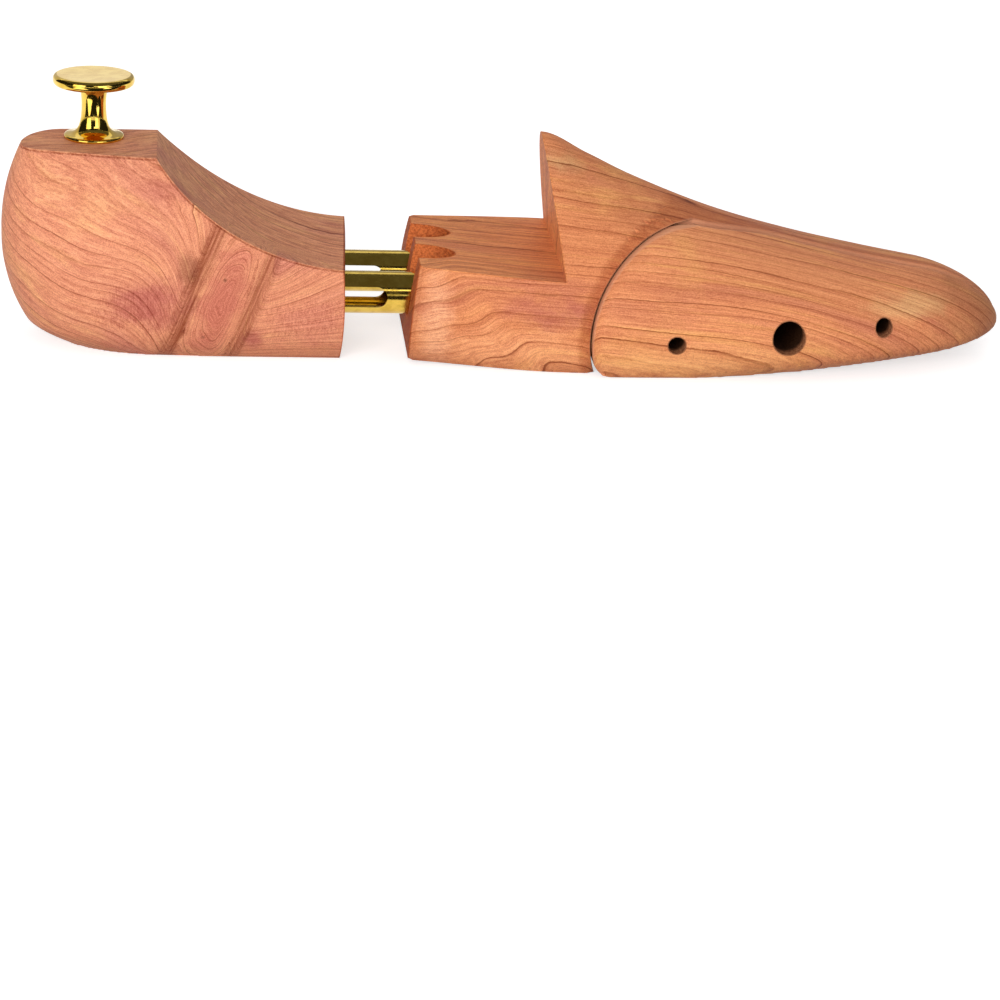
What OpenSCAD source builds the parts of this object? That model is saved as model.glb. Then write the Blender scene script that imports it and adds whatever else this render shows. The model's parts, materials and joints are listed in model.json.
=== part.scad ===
// Shoe stretcher: a wooden shoe tree whose heel block rides on two sprung tubes and folds up on the
// forepart, and whose toe is split, with a sprung wing on one side.
// X runs along the shoe with the toe at +X, the wing is on the -Y side, and Z is up from the sole.
// The origin is on the sole plane, under the middle of the whole tree.

/* [Tree] */
// Length of the forepart, from its rear face to the toe
fore_len = 178; // [160:1:200]
// Length of the heel block
heel_len = 99.5; // [92:0.5:112]
// Gap between the heel block and the forepart when nothing presses on them
gap = 20; // [18:0.5:26]

/* [Forepart] */
// Width of the forepart at the ball of the foot, with the wing pressed home
ball_w = 79; // [72:0.5:90]
// Height of the instep's peak
instep_h = 63.3; // [56:0.1:72]
// Height of the rear platform at its free edge
platform_h = 29.7; // [28.5:0.1:34]
// Length of the rear platform, up to the step
platform_len = 43.4; // [38:0.2:50]
// Fall of the platform towards the step, in degrees
platform_fall = 3; // [0:0.5:5]
// Lean of the step's face towards the heel, in degrees
step_lean = 9; // [0:0.5:14]
// Height of the toe's tip above the sole plane
toe_tip_z = 9.8; // [7:0.1:12]
// Length over which the toe rounds off, seen from above
toe_round_len = 70; // [55:1:85]
// Length over which the toe rounds off, seen from the side
toe_nose_len = 24; // [18:0.5:34]
// Radius of the forepart's bowed rear face, seen from the side
fore_face_r = 140; // [90:5:200]
// Height at which the rear face reaches furthest back
fore_face_z = 3; // [0:0.5:10]
// How far the rear face reaches back there, behind the line that the places along the forepart count from
fore_face_out = 1.1; // [0:0.1:2]

/* [Toe wing] */
// Radius of the wing's rounded rear end
seam_r = 30; // [26:0.2:31]
// Centre of that round, from the forepart's rear face
seam_x = 80.8; // [78:0.2:90]
// Height of that round's centre
seam_z = 11; // [9:0.2:12]
// Gap between the wing's edge and the forepart
seam_gap = 0.5; // [0.3:0.05:0.8]
// Radius of the wing's lower rear corner
wing_corner_r = 4; // [2:0.5:6]
// Distance of the forepart's cut face from the middle plane, along the toe
split_y = 3; // [1:0.2:5]
// How much further out the cut face lies at the wing's rear end
split_sweep = 9; // [6:0.2:11]
// Width of the saw cut, left open when the wing is pressed home
kerf = 1.5; // [0.6:0.1:2]
// Travel of the wing, which stands out as far when nothing presses on it
wing_travel = 3.5; // [2.5:0.1:5]
// Width of the bevel that the forepart has round the wing's end
seam_bevel = 2.6; // [1.5:0.1:3.2]
// Depth of that bevel
seam_bevel_deep = 1.2; // [0.8:0.1:1.8]
// Diameter of the vent hole through the wing
vent_d = 9.6; // [8:0.1:11]
// Place of the vent along the forepart
vent_x = 108; // [104:0.5:112]
// Height of the vent
vent_z = 13.8; // [13:0.1:15]

/* [Toe guides] */
// Diameter of the holes that the guide pins' heads run in
guide_hole_d = 5.1; // [5:0.1:6]
// Place of the rear guide along the forepart
rear_guide_x = 75.3; // [72:0.1:80]
// Height of the rear guide
rear_guide_z = 11.6; // [10.5:0.1:13]
// Place of the front guide along the forepart
front_guide_x = 137; // [130:0.5:140]
// Height of the front guide
front_guide_z = 15.5; // [13.5:0.1:16]
// Diameter of a guide pin's shank
guide_pin_d = 3; // [2.6:0.1:3.2]
// Diameter of a guide pin's head
guide_head_d = 4.7; // [4.2:0.1:4.8]
// Thickness of a guide pin's head
guide_head_t = 1.6; // [1.2:0.1:2]
// How far a guide pin is driven into the forepart beyond its spring's pocket
guide_grip = 12; // [8:0.5:14]
// Wood of the wing between its spring pocket and the shoulder that the head rests on
guide_web = 6; // [4:0.5:8]
// Diameter of the spring pockets
toe_pocket_d = 8.6; // [8:0.1:9.4]
// Depth of the spring pockets in the forepart
toe_pocket_body = 6; // [5:0.5:9]
// Depth of the spring pockets in the wing
toe_pocket_wing = 4; // [3:0.5:5]
// Outer diameter of the toe springs
toe_spring_d = 7.6; // [6.8:0.1:7.9]
// Wire of the toe springs
toe_wire = 0.9; // [0.7:0.05:1]
// Curls of a toe spring
toe_curls = 6; // [5:1:7]

/* [Heel block] */
// Width of the heel block at its widest
heel_w = 58.6; // [54:0.2:66]
// Height of the heel block's flat top
heel_h = 57.5; // [52:0.5:64]
// Width of the flat top at its front edge
heel_top_w = 34.2; // [30:0.2:40]
// Length of the flat top, from the back of the block
heel_top_len = 45; // [42:0.5:50]
// Height of the block's front face
heel_front_h = 28.6; // [27.5:0.1:33]
// Radius of the hollow between the flat top and the front face
heel_hollow_r = 76; // [64:1:110]
// Height of the block's widest part
heel_wide_z = 22; // [18:0.5:26]
// Height at which the block reaches furthest back
heel_back_z = 29; // [24:0.5:34]
// How far the back leans in at the top
heel_back_top = 6.5; // [3:0.5:9]
// How far the back rounds in at the bottom
heel_back_sole = 10.9; // [8:0.1:13]
// Size of the further round of the back's bottom edge
heel_edge = 6; // [3:0.5:8]
// Radius of the block's bowed front face, seen from the side
heel_face_r = 120; // [80:1:200]
// Turn of that face out of square, which makes the block longest on its far side, in degrees
heel_face_turn = 2.5; // [0:0.5:3]
// Turn of the back of the block away from the wing's side, in degrees
heel_turn = 6; // [0:0.5:9]

/* [Knob] */
// Diameter of the knob's disc
knob_d = 23.8; // [20:0.2:28]
// Thickness of the disc at its rim
knob_rim = 2.6; // [2:0.1:3.4]
// Rise of the disc's domed top
knob_dome = 0.5; // [0.2:0.1:0.8]
// Height of the knob under its disc
knob_neck_h = 15.7; // [13:0.1:19]
// Diameter of the stem
knob_stem_d = 7.3; // [6.6:0.1:8.4]
// Diameter of the collar under the disc
knob_collar_d = 8.6; // [8.5:0.1:10]
// Height of that collar
knob_collar_h = 3.6; // [2.5:0.1:5]
// Diameter of the foot flange
knob_foot_d = 17.5; // [15:0.1:20]
// Thickness of the foot flange at its rim
knob_foot_t = 1.1; // [0.8:0.1:1.6]
// Height of the flare from the flange to the stem
knob_flare_h = 5; // [4:0.1:6]
// Distance of the knob from the back of the heel block
knob_x = 26.6; // [23:0.1:28]
// Distance of the knob from the middle of the flat top, towards the far side
knob_side = 4.4; // [0:0.1:5]
// Diameter of the screw that holds the knob
knob_screw_d = 4; // [3.4:0.1:4.6]
// Depth of the screw in the knob
knob_screw_up = 9; // [7:0.5:11]
// Depth of the screw in the wood
knob_screw_down = 17; // [12:0.5:22]

/* [Tubes] */
// Outer diameter of the tubes
tube_d = 12.5; // [11.5:0.1:13]
// Wall of the tubes
tube_wall = 1; // [0.8:0.1:1.4]
// Distance between the tubes' axes
tube_spacing = 22; // [20.5:0.1:23]
// Height of the tubes' axes above the sole plane
tube_z = 16.8; // [16:0.1:17.2]
// Distance of the fold pin from the forepart's rear face
pivot_in = 15; // [14:0.1:16]
// Length of tube inside the heel block at rest
tube_in_heel = 46; // [42:0.5:52]
// Width of the slots through the tubes
slot_w = 6.2; // [5.6:0.1:6.6]
// Distance of the slots' front ends from the forepart's rear face
slot_front = 7; // [4:0.5:8]
// Largest fold, in degrees
fold_max = 45; // [30:1:45]
// Travel of the heel block towards the forepart
heel_travel = 13; // [10:0.5:13]
// Distance of the heel's cross pin behind the block's front face
heel_pin_in = 14; // [12:0.5:18]
// Diameter of the fold pin and of the heel's cross pin
cross_pin_d = 5; // [4.4:0.1:5.2]
// Wood left between the ends of the cross pins and the wing's side
pin_skin = 7; // [4:0.5:9]
// How deep the cross pins are driven under the far flank
pin_recess = 2; // [1:0.5:3]
// Outer diameter of the heel springs
heel_spring_d = 12.2; // [11.4:0.1:12.4]
// Wire of the heel springs
heel_wire = 1.3; // [1.1:0.05:1.4]
// Curls of a heel spring
heel_curls = 13; // [11:1:13]
// Length of a heel spring at rest
heel_spring_len = 33; // [32:0.5:36]

/* [Fits] */
// Radial clearance of a tube in the heel block
tube_fit = 0.2; // [0.1:0.05:0.3]
// Radial clearance of a tube in the forepart, round its fold
fold_room = 0.75; // [0.6:0.05:1]
// Clearance between a tube and the floor of its recess, which stops the fold when it is straight
fold_floor = 0.3; // [0.2:0.05:0.4]
// Radial clearance of the fold pin in the tubes
pivot_fit = 0.06; // [0.03:0.01:0.1]
// Radial clearance of a driven pin or screw in the wood
driven_fit = 0.02; // [0.01:0.01:0.04]
// Radial clearance of a guide pin in the wing
guide_fit = 0.1; // [0.05:0.01:0.1]
// Clearance at the ends of the springs and under the guide pins' heads
seat_gap = 0.1; // [0.05:0.05:0.2]

/* [Hidden] */
$fn = 64;
big = 200;
past = 20;

wood = [0.86, 0.56, 0.41];
brass = [0.80, 0.66, 0.25];
steel = [0.66, 0.67, 0.69];

// Places along X
tree_len = heel_len + gap + fore_len;
x_back = -tree_len / 2;
x_heel = x_back + heel_len;
x_fore = x_heel + gap;
x_tip = x_fore + fore_len;
x_fold = x_fore + pivot_in;
x_knob = x_back + knob_x;
wing_out = wing_travel + kerf;
y_mid = wing_travel / 2;

// Smooth line through points of [place, value], level beyond its ends
function slope(p, k) = let(a = max(k - 1, 0), b = min(k + 1, len(p) - 1))
    (p[b][1] - p[a][1]) / (p[b][0] - p[a][0]);
function curve(p, x, k = 0) =
    x <= p[0][0] ? p[0][1]
    : x >= p[len(p) - 1][0] ? p[len(p) - 1][1]
    : x > p[k + 1][0] ? curve(p, x, k + 1)
    : let(h = p[k + 1][0] - p[k][0], t = (x - p[k][0]) / h, u = 1 - t)
        (1 + 2 * t) * u * u * p[k][1] + t * u * u * h * slope(p, k)
        + t * t * (3 - 2 * t) * p[k + 1][1] - t * t * u * h * slope(p, k + 1);

// Share that an elliptical round leaves at a distance d inside its end, for a round of length r
function rounded(d, r) = d >= r ? 1 : sqrt(max(0, 1 - pow(1 - d / r, 2)));

// The forepart is a last. Each line below runs from the rear face (0) to the toe (1):
// the ridge, the underside and the widest level as shares of the instep's height, the half width as a
// share of half the ball, the roundness of the upper section, and the flat share of the sole
RIDGE = [[0, 0.94], [0.213, 1], [0.29, 0.903], [0.365, 0.801], [0.506, 0.643], [0.646, 0.527],
    [0.775, 0.449], [0.871, 0.405], [1, 0.35]];
HALF = [[0, 0.8], [0.225, 0.95], [0.48, 1], [0.6, 0.985], [0.73, 0.93], [1, 0.84]];
KEEL = [[0, 0.016], [0.22, 0], [0.45, 0], [0.62, 0.022], [0.79, 0.053], [1, 0.085]];
WIDE = [[0, 0.235], [0.34, 0.22], [0.62, 0.189], [0.84, 0.171], [1, 0.162]];
UPPER = [[0, 1.5], [0.25, 1.53], [0.56, 1.8], [0.79, 2], [1, 2.1]];
SOLE = [[0, 0.84], [0.225, 0.88], [0.4, 0.86], [0.62, 0.8], [1, 0.7]];
SOLE_P = 2.6;
SOLE_Q = 3;

function nose(x) = rounded(fore_len - x, toe_nose_len);
function ridge(x) = toe_tip_z + (instep_h * curve(RIDGE, x / fore_len) - toe_tip_z) * nose(x);
function keel(x) = toe_tip_z - (toe_tip_z - instep_h * max(0, curve(KEEL, x / fore_len))) * nose(x);
function wide(x) = toe_tip_z + (instep_h * curve(WIDE, x / fore_len) - toe_tip_z) * nose(x);
function half(x) = ball_w / 2 * curve(HALF, x / fore_len) * rounded(fore_len - x, toe_round_len);
// Half width of the last at a height z
function flank(x, z) = let(p = curve(UPPER, x / fore_len), f = curve(SOLE, x / fore_len),
        u = (z - wide(x)) / (ridge(x) - wide(x)), v = (wide(x) - z) / (wide(x) - keel(x)))
    z >= wide(x) ? half(x) * pow(max(0, 1 - pow(max(0, u), p)), 1 / p)
    : half(x) * pow(1 - pow(min(1, v), SOLE_P) * (1 - pow(f, SOLE_Q)), 1 / SOLE_Q);

// Section of the last at x, from the sole's near edge over the ridge to its far edge
sec_up = 11;
sec_low = 6;
function half_section(x) = let(p = curve(UPPER, x / fore_len), f = curve(SOLE, x / fore_len))
    concat(
        [for (i = [0:sec_low]) let(v = sin(90 * (1 - i / sec_low)))
            [half(x) * pow(1 - pow(v, SOLE_P) * (1 - pow(f, SOLE_Q)), 1 / SOLE_Q),
                wide(x) - (wide(x) - keel(x)) * v]],
        [for (i = [1:sec_up]) let(a = 90 * i / sec_up)
            [half(x) * pow(cos(a), 2 / p), wide(x) + (ridge(x) - wide(x)) * pow(sin(a), 2 / p)]]);
function section(x) = let(h = half_section(x), n = len(h) - 1)
    concat([for (i = [0:n]) [x_fore + x, -h[i][0], h[i][1]]],
        [for (i = [n - 1:-1:0]) [x_fore + x, h[i][0], h[i][1]]]);
// Stations along the last: even up to the toe's round, then closer and closer
nose_turns = 14;
function stations(from) = concat(
    [for (i = [0:round((fore_len - toe_round_len - from) / 5.5)])
        from + (fore_len - toe_round_len - from) * i / round((fore_len - toe_round_len - from) / 5.5)],
    [for (i = [1:nose_turns - 1]) fore_len - toe_round_len * (1 - sin(90 * i / nose_turns))]);

// Solid of rings of points: each end closes with a fan, at the last ring to a tip if one is given
function middle(ring) = [for (p = ring) 1] * ring / len(ring);
module rings_solid(rings, tip = []) {
    n = len(rings[0]);
    m = len(rings);
    points = concat([for (r = rings) each r],
        [middle(rings[0]), len(tip) == 0 ? middle(rings[m - 1]) : tip]);
    start = [for (i = [0:n - 1]) [(i + 1) % n, i, m * n]];
    sides = [for (j = [0:m - 2], i = [0:n - 1]) let(a = j * n + i, b = j * n + (i + 1) % n)
        each [[a, b, b + n], [a, b + n, a + n]]];
    end = [for (i = [0:n - 1]) [(m - 1) * n + i, (m - 1) * n + (i + 1) % n, m * n + 1]];
    polyhedron(points, concat(start, sides, end), convexity = 6);
}
module last_solid(from) {
    rings_solid([for (x = stations(from)) section(x)], [x_tip, 0, toe_tip_z]);
}

// Extrusion of an XZ outline along Y, and of an XY outline along Z
module across(w = big) {
    rotate([90, 0, 0]) linear_extrude(w, center = true) children();
}
module upright(h = big) {
    translate([0, 0, -h / 2]) linear_extrude(h) children();
}
// Rod along +Y from y0 to y1 at a place in the XZ plane
module rod_y(x, z, y0, y1, d) {
    translate([x, y0, z]) rotate([-90, 0, 0]) cylinder(h = y1 - y0, d = d);
}

// Rounded end of the wing in the XZ plane, drawn in by a clearance
seam_top = seam_z + seam_r;
arc_steps = 22;
function seam_arc(r, from) = [for (i = [0:arc_steps]) let(a = from + (90 - from) * i / arc_steps)
    [x_fore + seam_x + r * cos(a), seam_z + r * sin(a)]];
module pocket_outline() {
    from = 180 + asin((seam_z + 1) / seam_r);
    polygon(concat(seam_arc(seam_r, from), [[x_tip + past, seam_top], [x_tip + past, -1]]));
}
module wing_outline() {
    r = seam_r - seam_gap;
    c = wing_corner_r;
    cz = seam_z - c;
    cx = sqrt((r - c) * (r - c) - cz * cz);
    turn = 180 + atan2(cz, cx);
    corner = [for (i = [0:5]) let(a = 270 + (turn - 270) * i / 6)
        [x_fore + seam_x - cx + c * cos(a), c + c * sin(a)]];
    polygon(concat([[x_fore + seam_x - cx, -1]], corner, seam_arc(r, turn),
        [[x_tip + past, seam_top - seam_gap], [x_tip + past, -1]]));
}
// Cut face of the forepart, as the distance from the middle plane: it sweeps outwards behind sweep_x
sweep_x = seam_x + seam_r + 1.2;
sweep_len = seam_r + 2;
function cut_y(x) = split_y + split_sweep * (1 - cos(180 * min(1, max(0, (sweep_x - x) / sweep_len)))) / 2;
sweep_steps = 12;
// Plan of what lies outside the cut face, moved out by some distance
module outside_cut(out) {
    polygon(concat(
        [[x_fore + seam_x - seam_r - 10, -cut_y(0) - out]],
        [for (i = [0:sweep_steps]) let(x = sweep_x - sweep_len * (1 - i / sweep_steps))
            [x_fore + x, -cut_y(x) - out]],
        [[x_tip + past, -split_y - out], [x_tip + past, -big], [x_fore + seam_x - seam_r - 10, -big]]));
}

// Bevel round the pocket: a ring of wedges that follows the last's flank along its outward direction
bevel_steps = 26;
bevel_from = 203;
bevel_to = 94;
bevel_proud = 0.25;
function flank_out(x, z) = let(d = 0.5, n = [(flank(x - d, z) - flank(x + d, z)) / 2 / d, -1,
        (flank(x, z - d) - flank(x, z + d)) / 2 / d]) [n[0], n[1], n[2]] / norm(n);
function flank_point(x, z, out) = [x_fore + x, -flank(x, z), z] + out * flank_out(x, z);
function bevel_ring(i) = let(a = bevel_from + (bevel_to - bevel_from) * i / bevel_steps,
        fade = min(1, (bevel_steps - i) / 8 + 0.05), ri = seam_r - 0.4, ro = seam_r + seam_bevel * fade,
        xi = seam_x + ri * cos(a), zi = seam_z + ri * sin(a),
        xo = seam_x + ro * cos(a), zo = seam_z + ro * sin(a))
    [flank_point(xi, zi, -seam_bevel_deep * fade), flank_point(xo, zo, bevel_proud),
        flank_point(xo, zo, 5), flank_point(xi, zi, 5)];
module seam_bevel_cutter() {
    rings_solid([for (i = [0:bevel_steps]) bevel_ring(i)]);
}

// Recess for one tube in the forepart: a level bore, a raised bore and the way between them
module tube_recess() {
    r = tube_d / 2 + fold_room;
    rise = fold_room - fold_floor;
    reach = pivot_in + past;
    translate([x_fold, 0, tube_z]) {
        translate([0, 0, rise]) rotate([0, -90, 0]) cylinder(h = reach, r = r);
        translate([0, 0, rise]) rotate([0, 90, 0]) cylinder(h = r, r = r);
        rotate([0, fold_max - 90, 0]) cylinder(h = reach, r = r);
        sphere(r = r);
        across(2 * r) polygon([[0, 0], [-reach, 0], [-reach * cos(fold_max), reach * sin(fold_max)]]);
    }
}

// Places of the toe guides: distance from the rear face, height, and the levels along Y
guides = [[rear_guide_x, rear_guide_z], [front_guide_x, front_guide_z]];
function body_face(g) = -cut_y(g[0]);
function pocket_floor(g) = body_face(g) + toe_pocket_body;
function wing_face(g) = body_face(g) - wing_out;
function wing_pocket_floor(g) = wing_face(g) - toe_pocket_wing;
function shoulder(g) = wing_pocket_floor(g) - guide_web;

// The fold pin ends just under the far flank and, on the near side, inside the wood
fold_pin_far = flank(pivot_in, tube_z) - pin_recess;
fold_pin_near = -flank(pivot_in, tube_z) + pin_skin;

module forepart() {
    color(wood) difference() {
        last_solid(-fore_face_out - seam_gap);
        // Bowed rear face
        across() difference() {
            translate([x_fore - past, -past]) square([past + pivot_in / 2, big]);
            circle_at([x_fore - fore_face_out + fore_face_r, fore_face_z], fore_face_r);
        }
        // Platform and the step's leaning face
        across() polygon([[x_fore - past, platform_h + past * tan(platform_fall)],
            [x_fore + platform_len, platform_h - platform_len * tan(platform_fall)],
            [x_fore + platform_len - big * tan(step_lean), platform_h + big],
            [x_fore - big, platform_h + big]]);
        // Pocket for the wing
        intersection() {
            across() pocket_outline();
            upright() outside_cut(0);
        }
        seam_bevel_cutter();
        for (s = [-1, 1]) translate([0, s * tube_spacing / 2, 0]) tube_recess();
        rod_y(x_fold, tube_z, fold_pin_near, big, cross_pin_d + 2 * driven_fit);
        for (g = guides) {
            rod_y(x_fore + g[0], g[1], -big / 2, pocket_floor(g), toe_pocket_d);
            rod_y(x_fore + g[0], g[1], pocket_floor(g) - 1, pocket_floor(g) + guide_grip,
                guide_pin_d + 2 * driven_fit);
        }
    }
}

module toe_wing() {
    color(wood) difference() {
        intersection() {
            translate([0, -wing_travel, 0]) last_solid(seam_x - seam_r - 2);
            across() wing_outline();
            upright() outside_cut(wing_out);
        }
        rod_y(x_fore + vent_x, vent_z, -big / 2, 0, vent_d);
        for (g = guides) {
            rod_y(x_fore + g[0], g[1], wing_pocket_floor(g), 0, toe_pocket_d);
            rod_y(x_fore + g[0], g[1], shoulder(g) - 1, 0, guide_pin_d + 2 * guide_fit);
            rod_y(x_fore + g[0], g[1], -big / 2, shoulder(g), guide_hole_d);
        }
    }
}

// Heel block: level outlines stacked from the sole up. Half width and back of the outline at a height:
heel_p = 2.5;
heel_q = 3;
heel_sole_share = 0.76;
function heel_half(z) = heel_w / 2 * (z >= heel_wide_z
    ? 1 - (1 - heel_top_w / heel_w) * pow((z - heel_wide_z) / (heel_h - heel_wide_z), heel_p)
    : pow(1 - pow(1 - z / heel_wide_z, heel_q) * (1 - pow(heel_sole_share, heel_q)), 1 / heel_q));
// The heel's cross pin ends in the same way
heel_pin_far = heel_half(tube_z) - pin_recess;
heel_pin_near = -heel_half(tube_z) + pin_skin;
function heel_inset(z) = z >= heel_back_z
    ? heel_back_top * pow((z - heel_back_z) / (heel_h - heel_back_z), 2.2)
    : heel_back_sole * pow(1 - z / heel_back_z, 2.1) + heel_edge * pow(max(0, 1 - z / heel_edge), 1.6);
// How much of the upper block's own shape a height has: 0 low down, 1 at the top
function upper_share(z, from) = max(0, (z / heel_h - from) / (1 - from));
function back_round(z) = 30 - 22 * pow(upper_share(z, 0.45), 1.5);
function back_taper(z) = 0.88 - 0.24 * upper_share(z, 0.4);
heel_back_skew = 0.28;
back_steps = 9;
side_steps = 6;
// Point of the outline at height z: d is the distance from the back, e the share of the width
function heel_point(z, d, e, side) = let(w = heel_half(z) * (1 - (1 - back_taper(z))
            * pow(1 - min(1, d / (heel_top_len + 5)), 1.5)),
        y = side * w * e, back = x_back + heel_inset(z), behind = max(0, 1 - d / (x_heel - back)),
        turn = max(0, heel_top_len - heel_inset(z) - d) * tan(heel_turn) * upper_share(z, 0))
    [back + d + heel_back_skew * upper_share(z, 0.35) * y * behind * behind, y + turn, z];
function heel_side(z) = let(r = back_round(z), run = x_heel + 4 - (x_back + heel_inset(z)) - r)
    concat([for (i = [0:back_steps]) let(a = 90 * i / back_steps)
            [r * (1 - pow(cos(a), 0.87)), pow(sin(a), 0.87)]],
        [for (i = [1:side_steps]) [r + run * i / side_steps, 1]]);
function heel_outline(z) = let(h = heel_side(z), n = len(h) - 1)
    concat([for (i = [n:-1:1]) heel_point(z, h[i][0], h[i][1], -1)],
        [for (i = [0:n]) heel_point(z, h[i][0], h[i][1], 1)]);
// Levels crowd towards the sole, where the block rounds off
heel_levels = 22;
function heel_level(i) = let(t = i / heel_levels) (heel_h + 3) * (0.35 * t * t + 0.65 * t);
// Centre of the hollow between the flat top and the front face
top_edge = [x_back + heel_top_len, heel_h];
front_edge = [x_heel - 0.4, heel_front_h];
hollow_chord = norm(front_edge - top_edge);
hollow_rise = sqrt(heel_hollow_r * heel_hollow_r - hollow_chord * hollow_chord / 4);
hollow_centre = (top_edge + front_edge) / 2
    + hollow_rise * [top_edge[1] - front_edge[1], front_edge[0] - top_edge[0]] / hollow_chord;
heel_bore_len = tube_in_heel + heel_spring_len + 2 * seat_gap;

module heel_block() {
    color(wood) difference() {
        rings_solid([for (i = [0:heel_levels]) heel_outline(heel_level(i))]);
        translate([-big, -big / 2, heel_h]) cube([2 * big, big, big]);
        // Hollow and what lies above it
        across() circle_at(hollow_centre, heel_hollow_r);
        across() polygon([top_edge, front_edge, front_edge + [past, 0], front_edge + [past, big],
            top_edge + [0, big]]);
        // Bowed front face
        translate([x_heel, -heel_w / 2, 0]) rotate([0, 0, -heel_face_turn]) across() difference() {
            translate([-past / 2, -past]) square([2 * past, big]);
            circle_at([-heel_face_r, tube_z], heel_face_r);
        }
        for (s = [-1, 1]) translate([x_heel - heel_bore_len, s * tube_spacing / 2, tube_z])
            rotate([0, 90, 0]) cylinder(h = heel_bore_len + past, d = tube_d + 2 * tube_fit);
        rod_y(x_heel - heel_pin_in, tube_z, heel_pin_near, big, cross_pin_d + 2 * driven_fit);
        translate([x_knob, knob_y, heel_h - knob_screw_down - seat_gap])
            cylinder(h = big, d = knob_screw_d + 2 * driven_fit);
    }
}
module circle_at(place, r) {
    translate(place) circle(r = r, $fn = 180);
}

// Slotted tube with a domed front end, turning on the fold pin
tube_len = x_fold - (x_heel - tube_in_heel);
slot_end = x_fore - slot_front;
slot_start = x_heel - heel_pin_in - slot_w / 2;
module tube(side) {
    r = tube_d / 2;
    bore = r - tube_wall;
    color(brass) translate([0, side * tube_spacing / 2, 0]) difference() {
        translate([x_fold, 0, tube_z]) rotate([0, -90, 0]) rotate_extrude() {
            difference() {
                union() {
                    square([r, tube_len]);
                    intersection() {
                        circle(r = r);
                        translate([0, -r]) square([r, r]);
                    }
                }
                translate([-1, 0]) square([bore + 1, tube_len + 1]);
                intersection() {
                    circle(r = bore);
                    translate([0, -r]) square([r, r + 0.01]);
                }
            }
        }
        rod_y(x_fold, tube_z, -r - 1, r + 1, cross_pin_d + 2 * pivot_fit);
        // Slot through both walls
        for (x = [slot_start + slot_w / 2, slot_end - slot_w / 2]) rod_y(x, tube_z, -r - 1, r + 1, slot_w);
        translate([slot_start + slot_w / 2, -r - 1, tube_z - slot_w / 2])
            cube([slot_end - slot_start - slot_w, 2 * r + 2, slot_w]);
    }
}
module tube_near() { tube(-1); }
module tube_far() { tube(1); }

module fold_pin() {
    color(steel) rod_y(x_fold, tube_z, fold_pin_near + seat_gap, fold_pin_far, cross_pin_d);
}
module heel_cross_pin() {
    color(steel) rod_y(x_heel - heel_pin_in, tube_z, heel_pin_near + seat_gap, heel_pin_far, cross_pin_d);
}

// Compression spring along +Z from the origin: one round wire of hexagonal section on a helix
wire_sides = 6;
curl_rings = 8;
function spring_point(t, r, pitch, wire) = [r * cos(360 * t), r * sin(360 * t), wire / 2 + pitch * t];
function wire_ring(t, r, pitch, wire) = let(c = spring_point(t, r, pitch, wire),
        rise = atan2(pitch, 2 * PI * r), out = [cos(360 * t), sin(360 * t), 0],
        up = [sin(360 * t) * sin(rise), -cos(360 * t) * sin(rise), cos(rise)])
    [for (k = [0:wire_sides - 1]) c + wire / 2 * (cos(60 * k) * out + sin(60 * k) * up)];
// Least gap of the wire to the wire, between points at least half a curl apart
function spring_gap(r, pitch, wire) = min([for (k = [curl_rings / 2:2 * curl_rings])
    norm(spring_point(k / curl_rings, r, pitch, wire) - spring_point(0, r, pitch, wire))]) - wire;
module spring(len, d, wire, curls) {
    r = (d - wire) / 2;
    pitch = (len - wire) / curls;
    echo(str("least gap in the spring: ", spring_gap(r, pitch, wire), " mm"));
    rings_solid([for (i = [0:curls * curl_rings]) wire_ring(i / curl_rings, r, pitch, wire)]);
}
module heel_spring(side) {
    start = x_heel - tube_in_heel - heel_spring_len - seat_gap;
    color(steel) translate([start, side * tube_spacing / 2, tube_z]) rotate([0, 90, 0])
        spring(heel_spring_len, heel_spring_d, heel_wire, heel_curls);
}
module heel_spring_near() { heel_spring(-1); }
module heel_spring_far() { heel_spring(1); }

module toe_spring(g) {
    room = pocket_floor(g) - wing_pocket_floor(g) - 2 * seat_gap;
    color(steel) translate([x_fore + g[0], pocket_floor(g) - seat_gap, g[1]]) rotate([90, 0, 0])
        spring(room, toe_spring_d, toe_wire, toe_curls);
}
module toe_spring_rear() { toe_spring(guides[0]); }
module toe_spring_front() { toe_spring(guides[1]); }

// Guide pin: a shank driven into the forepart and a head behind the wing's shoulder
module toe_guide(g) {
    head = shoulder(g) - seat_gap;
    color(steel) {
        rod_y(x_fore + g[0], g[1], head - 0.2, pocket_floor(g) + guide_grip - seat_gap, guide_pin_d);
        rod_y(x_fore + g[0], g[1], head - guide_head_t, head, guide_head_d);
    }
}
module toe_guide_rear() { toe_guide(guides[0]); }
module toe_guide_front() { toe_guide(guides[1]); }

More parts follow.
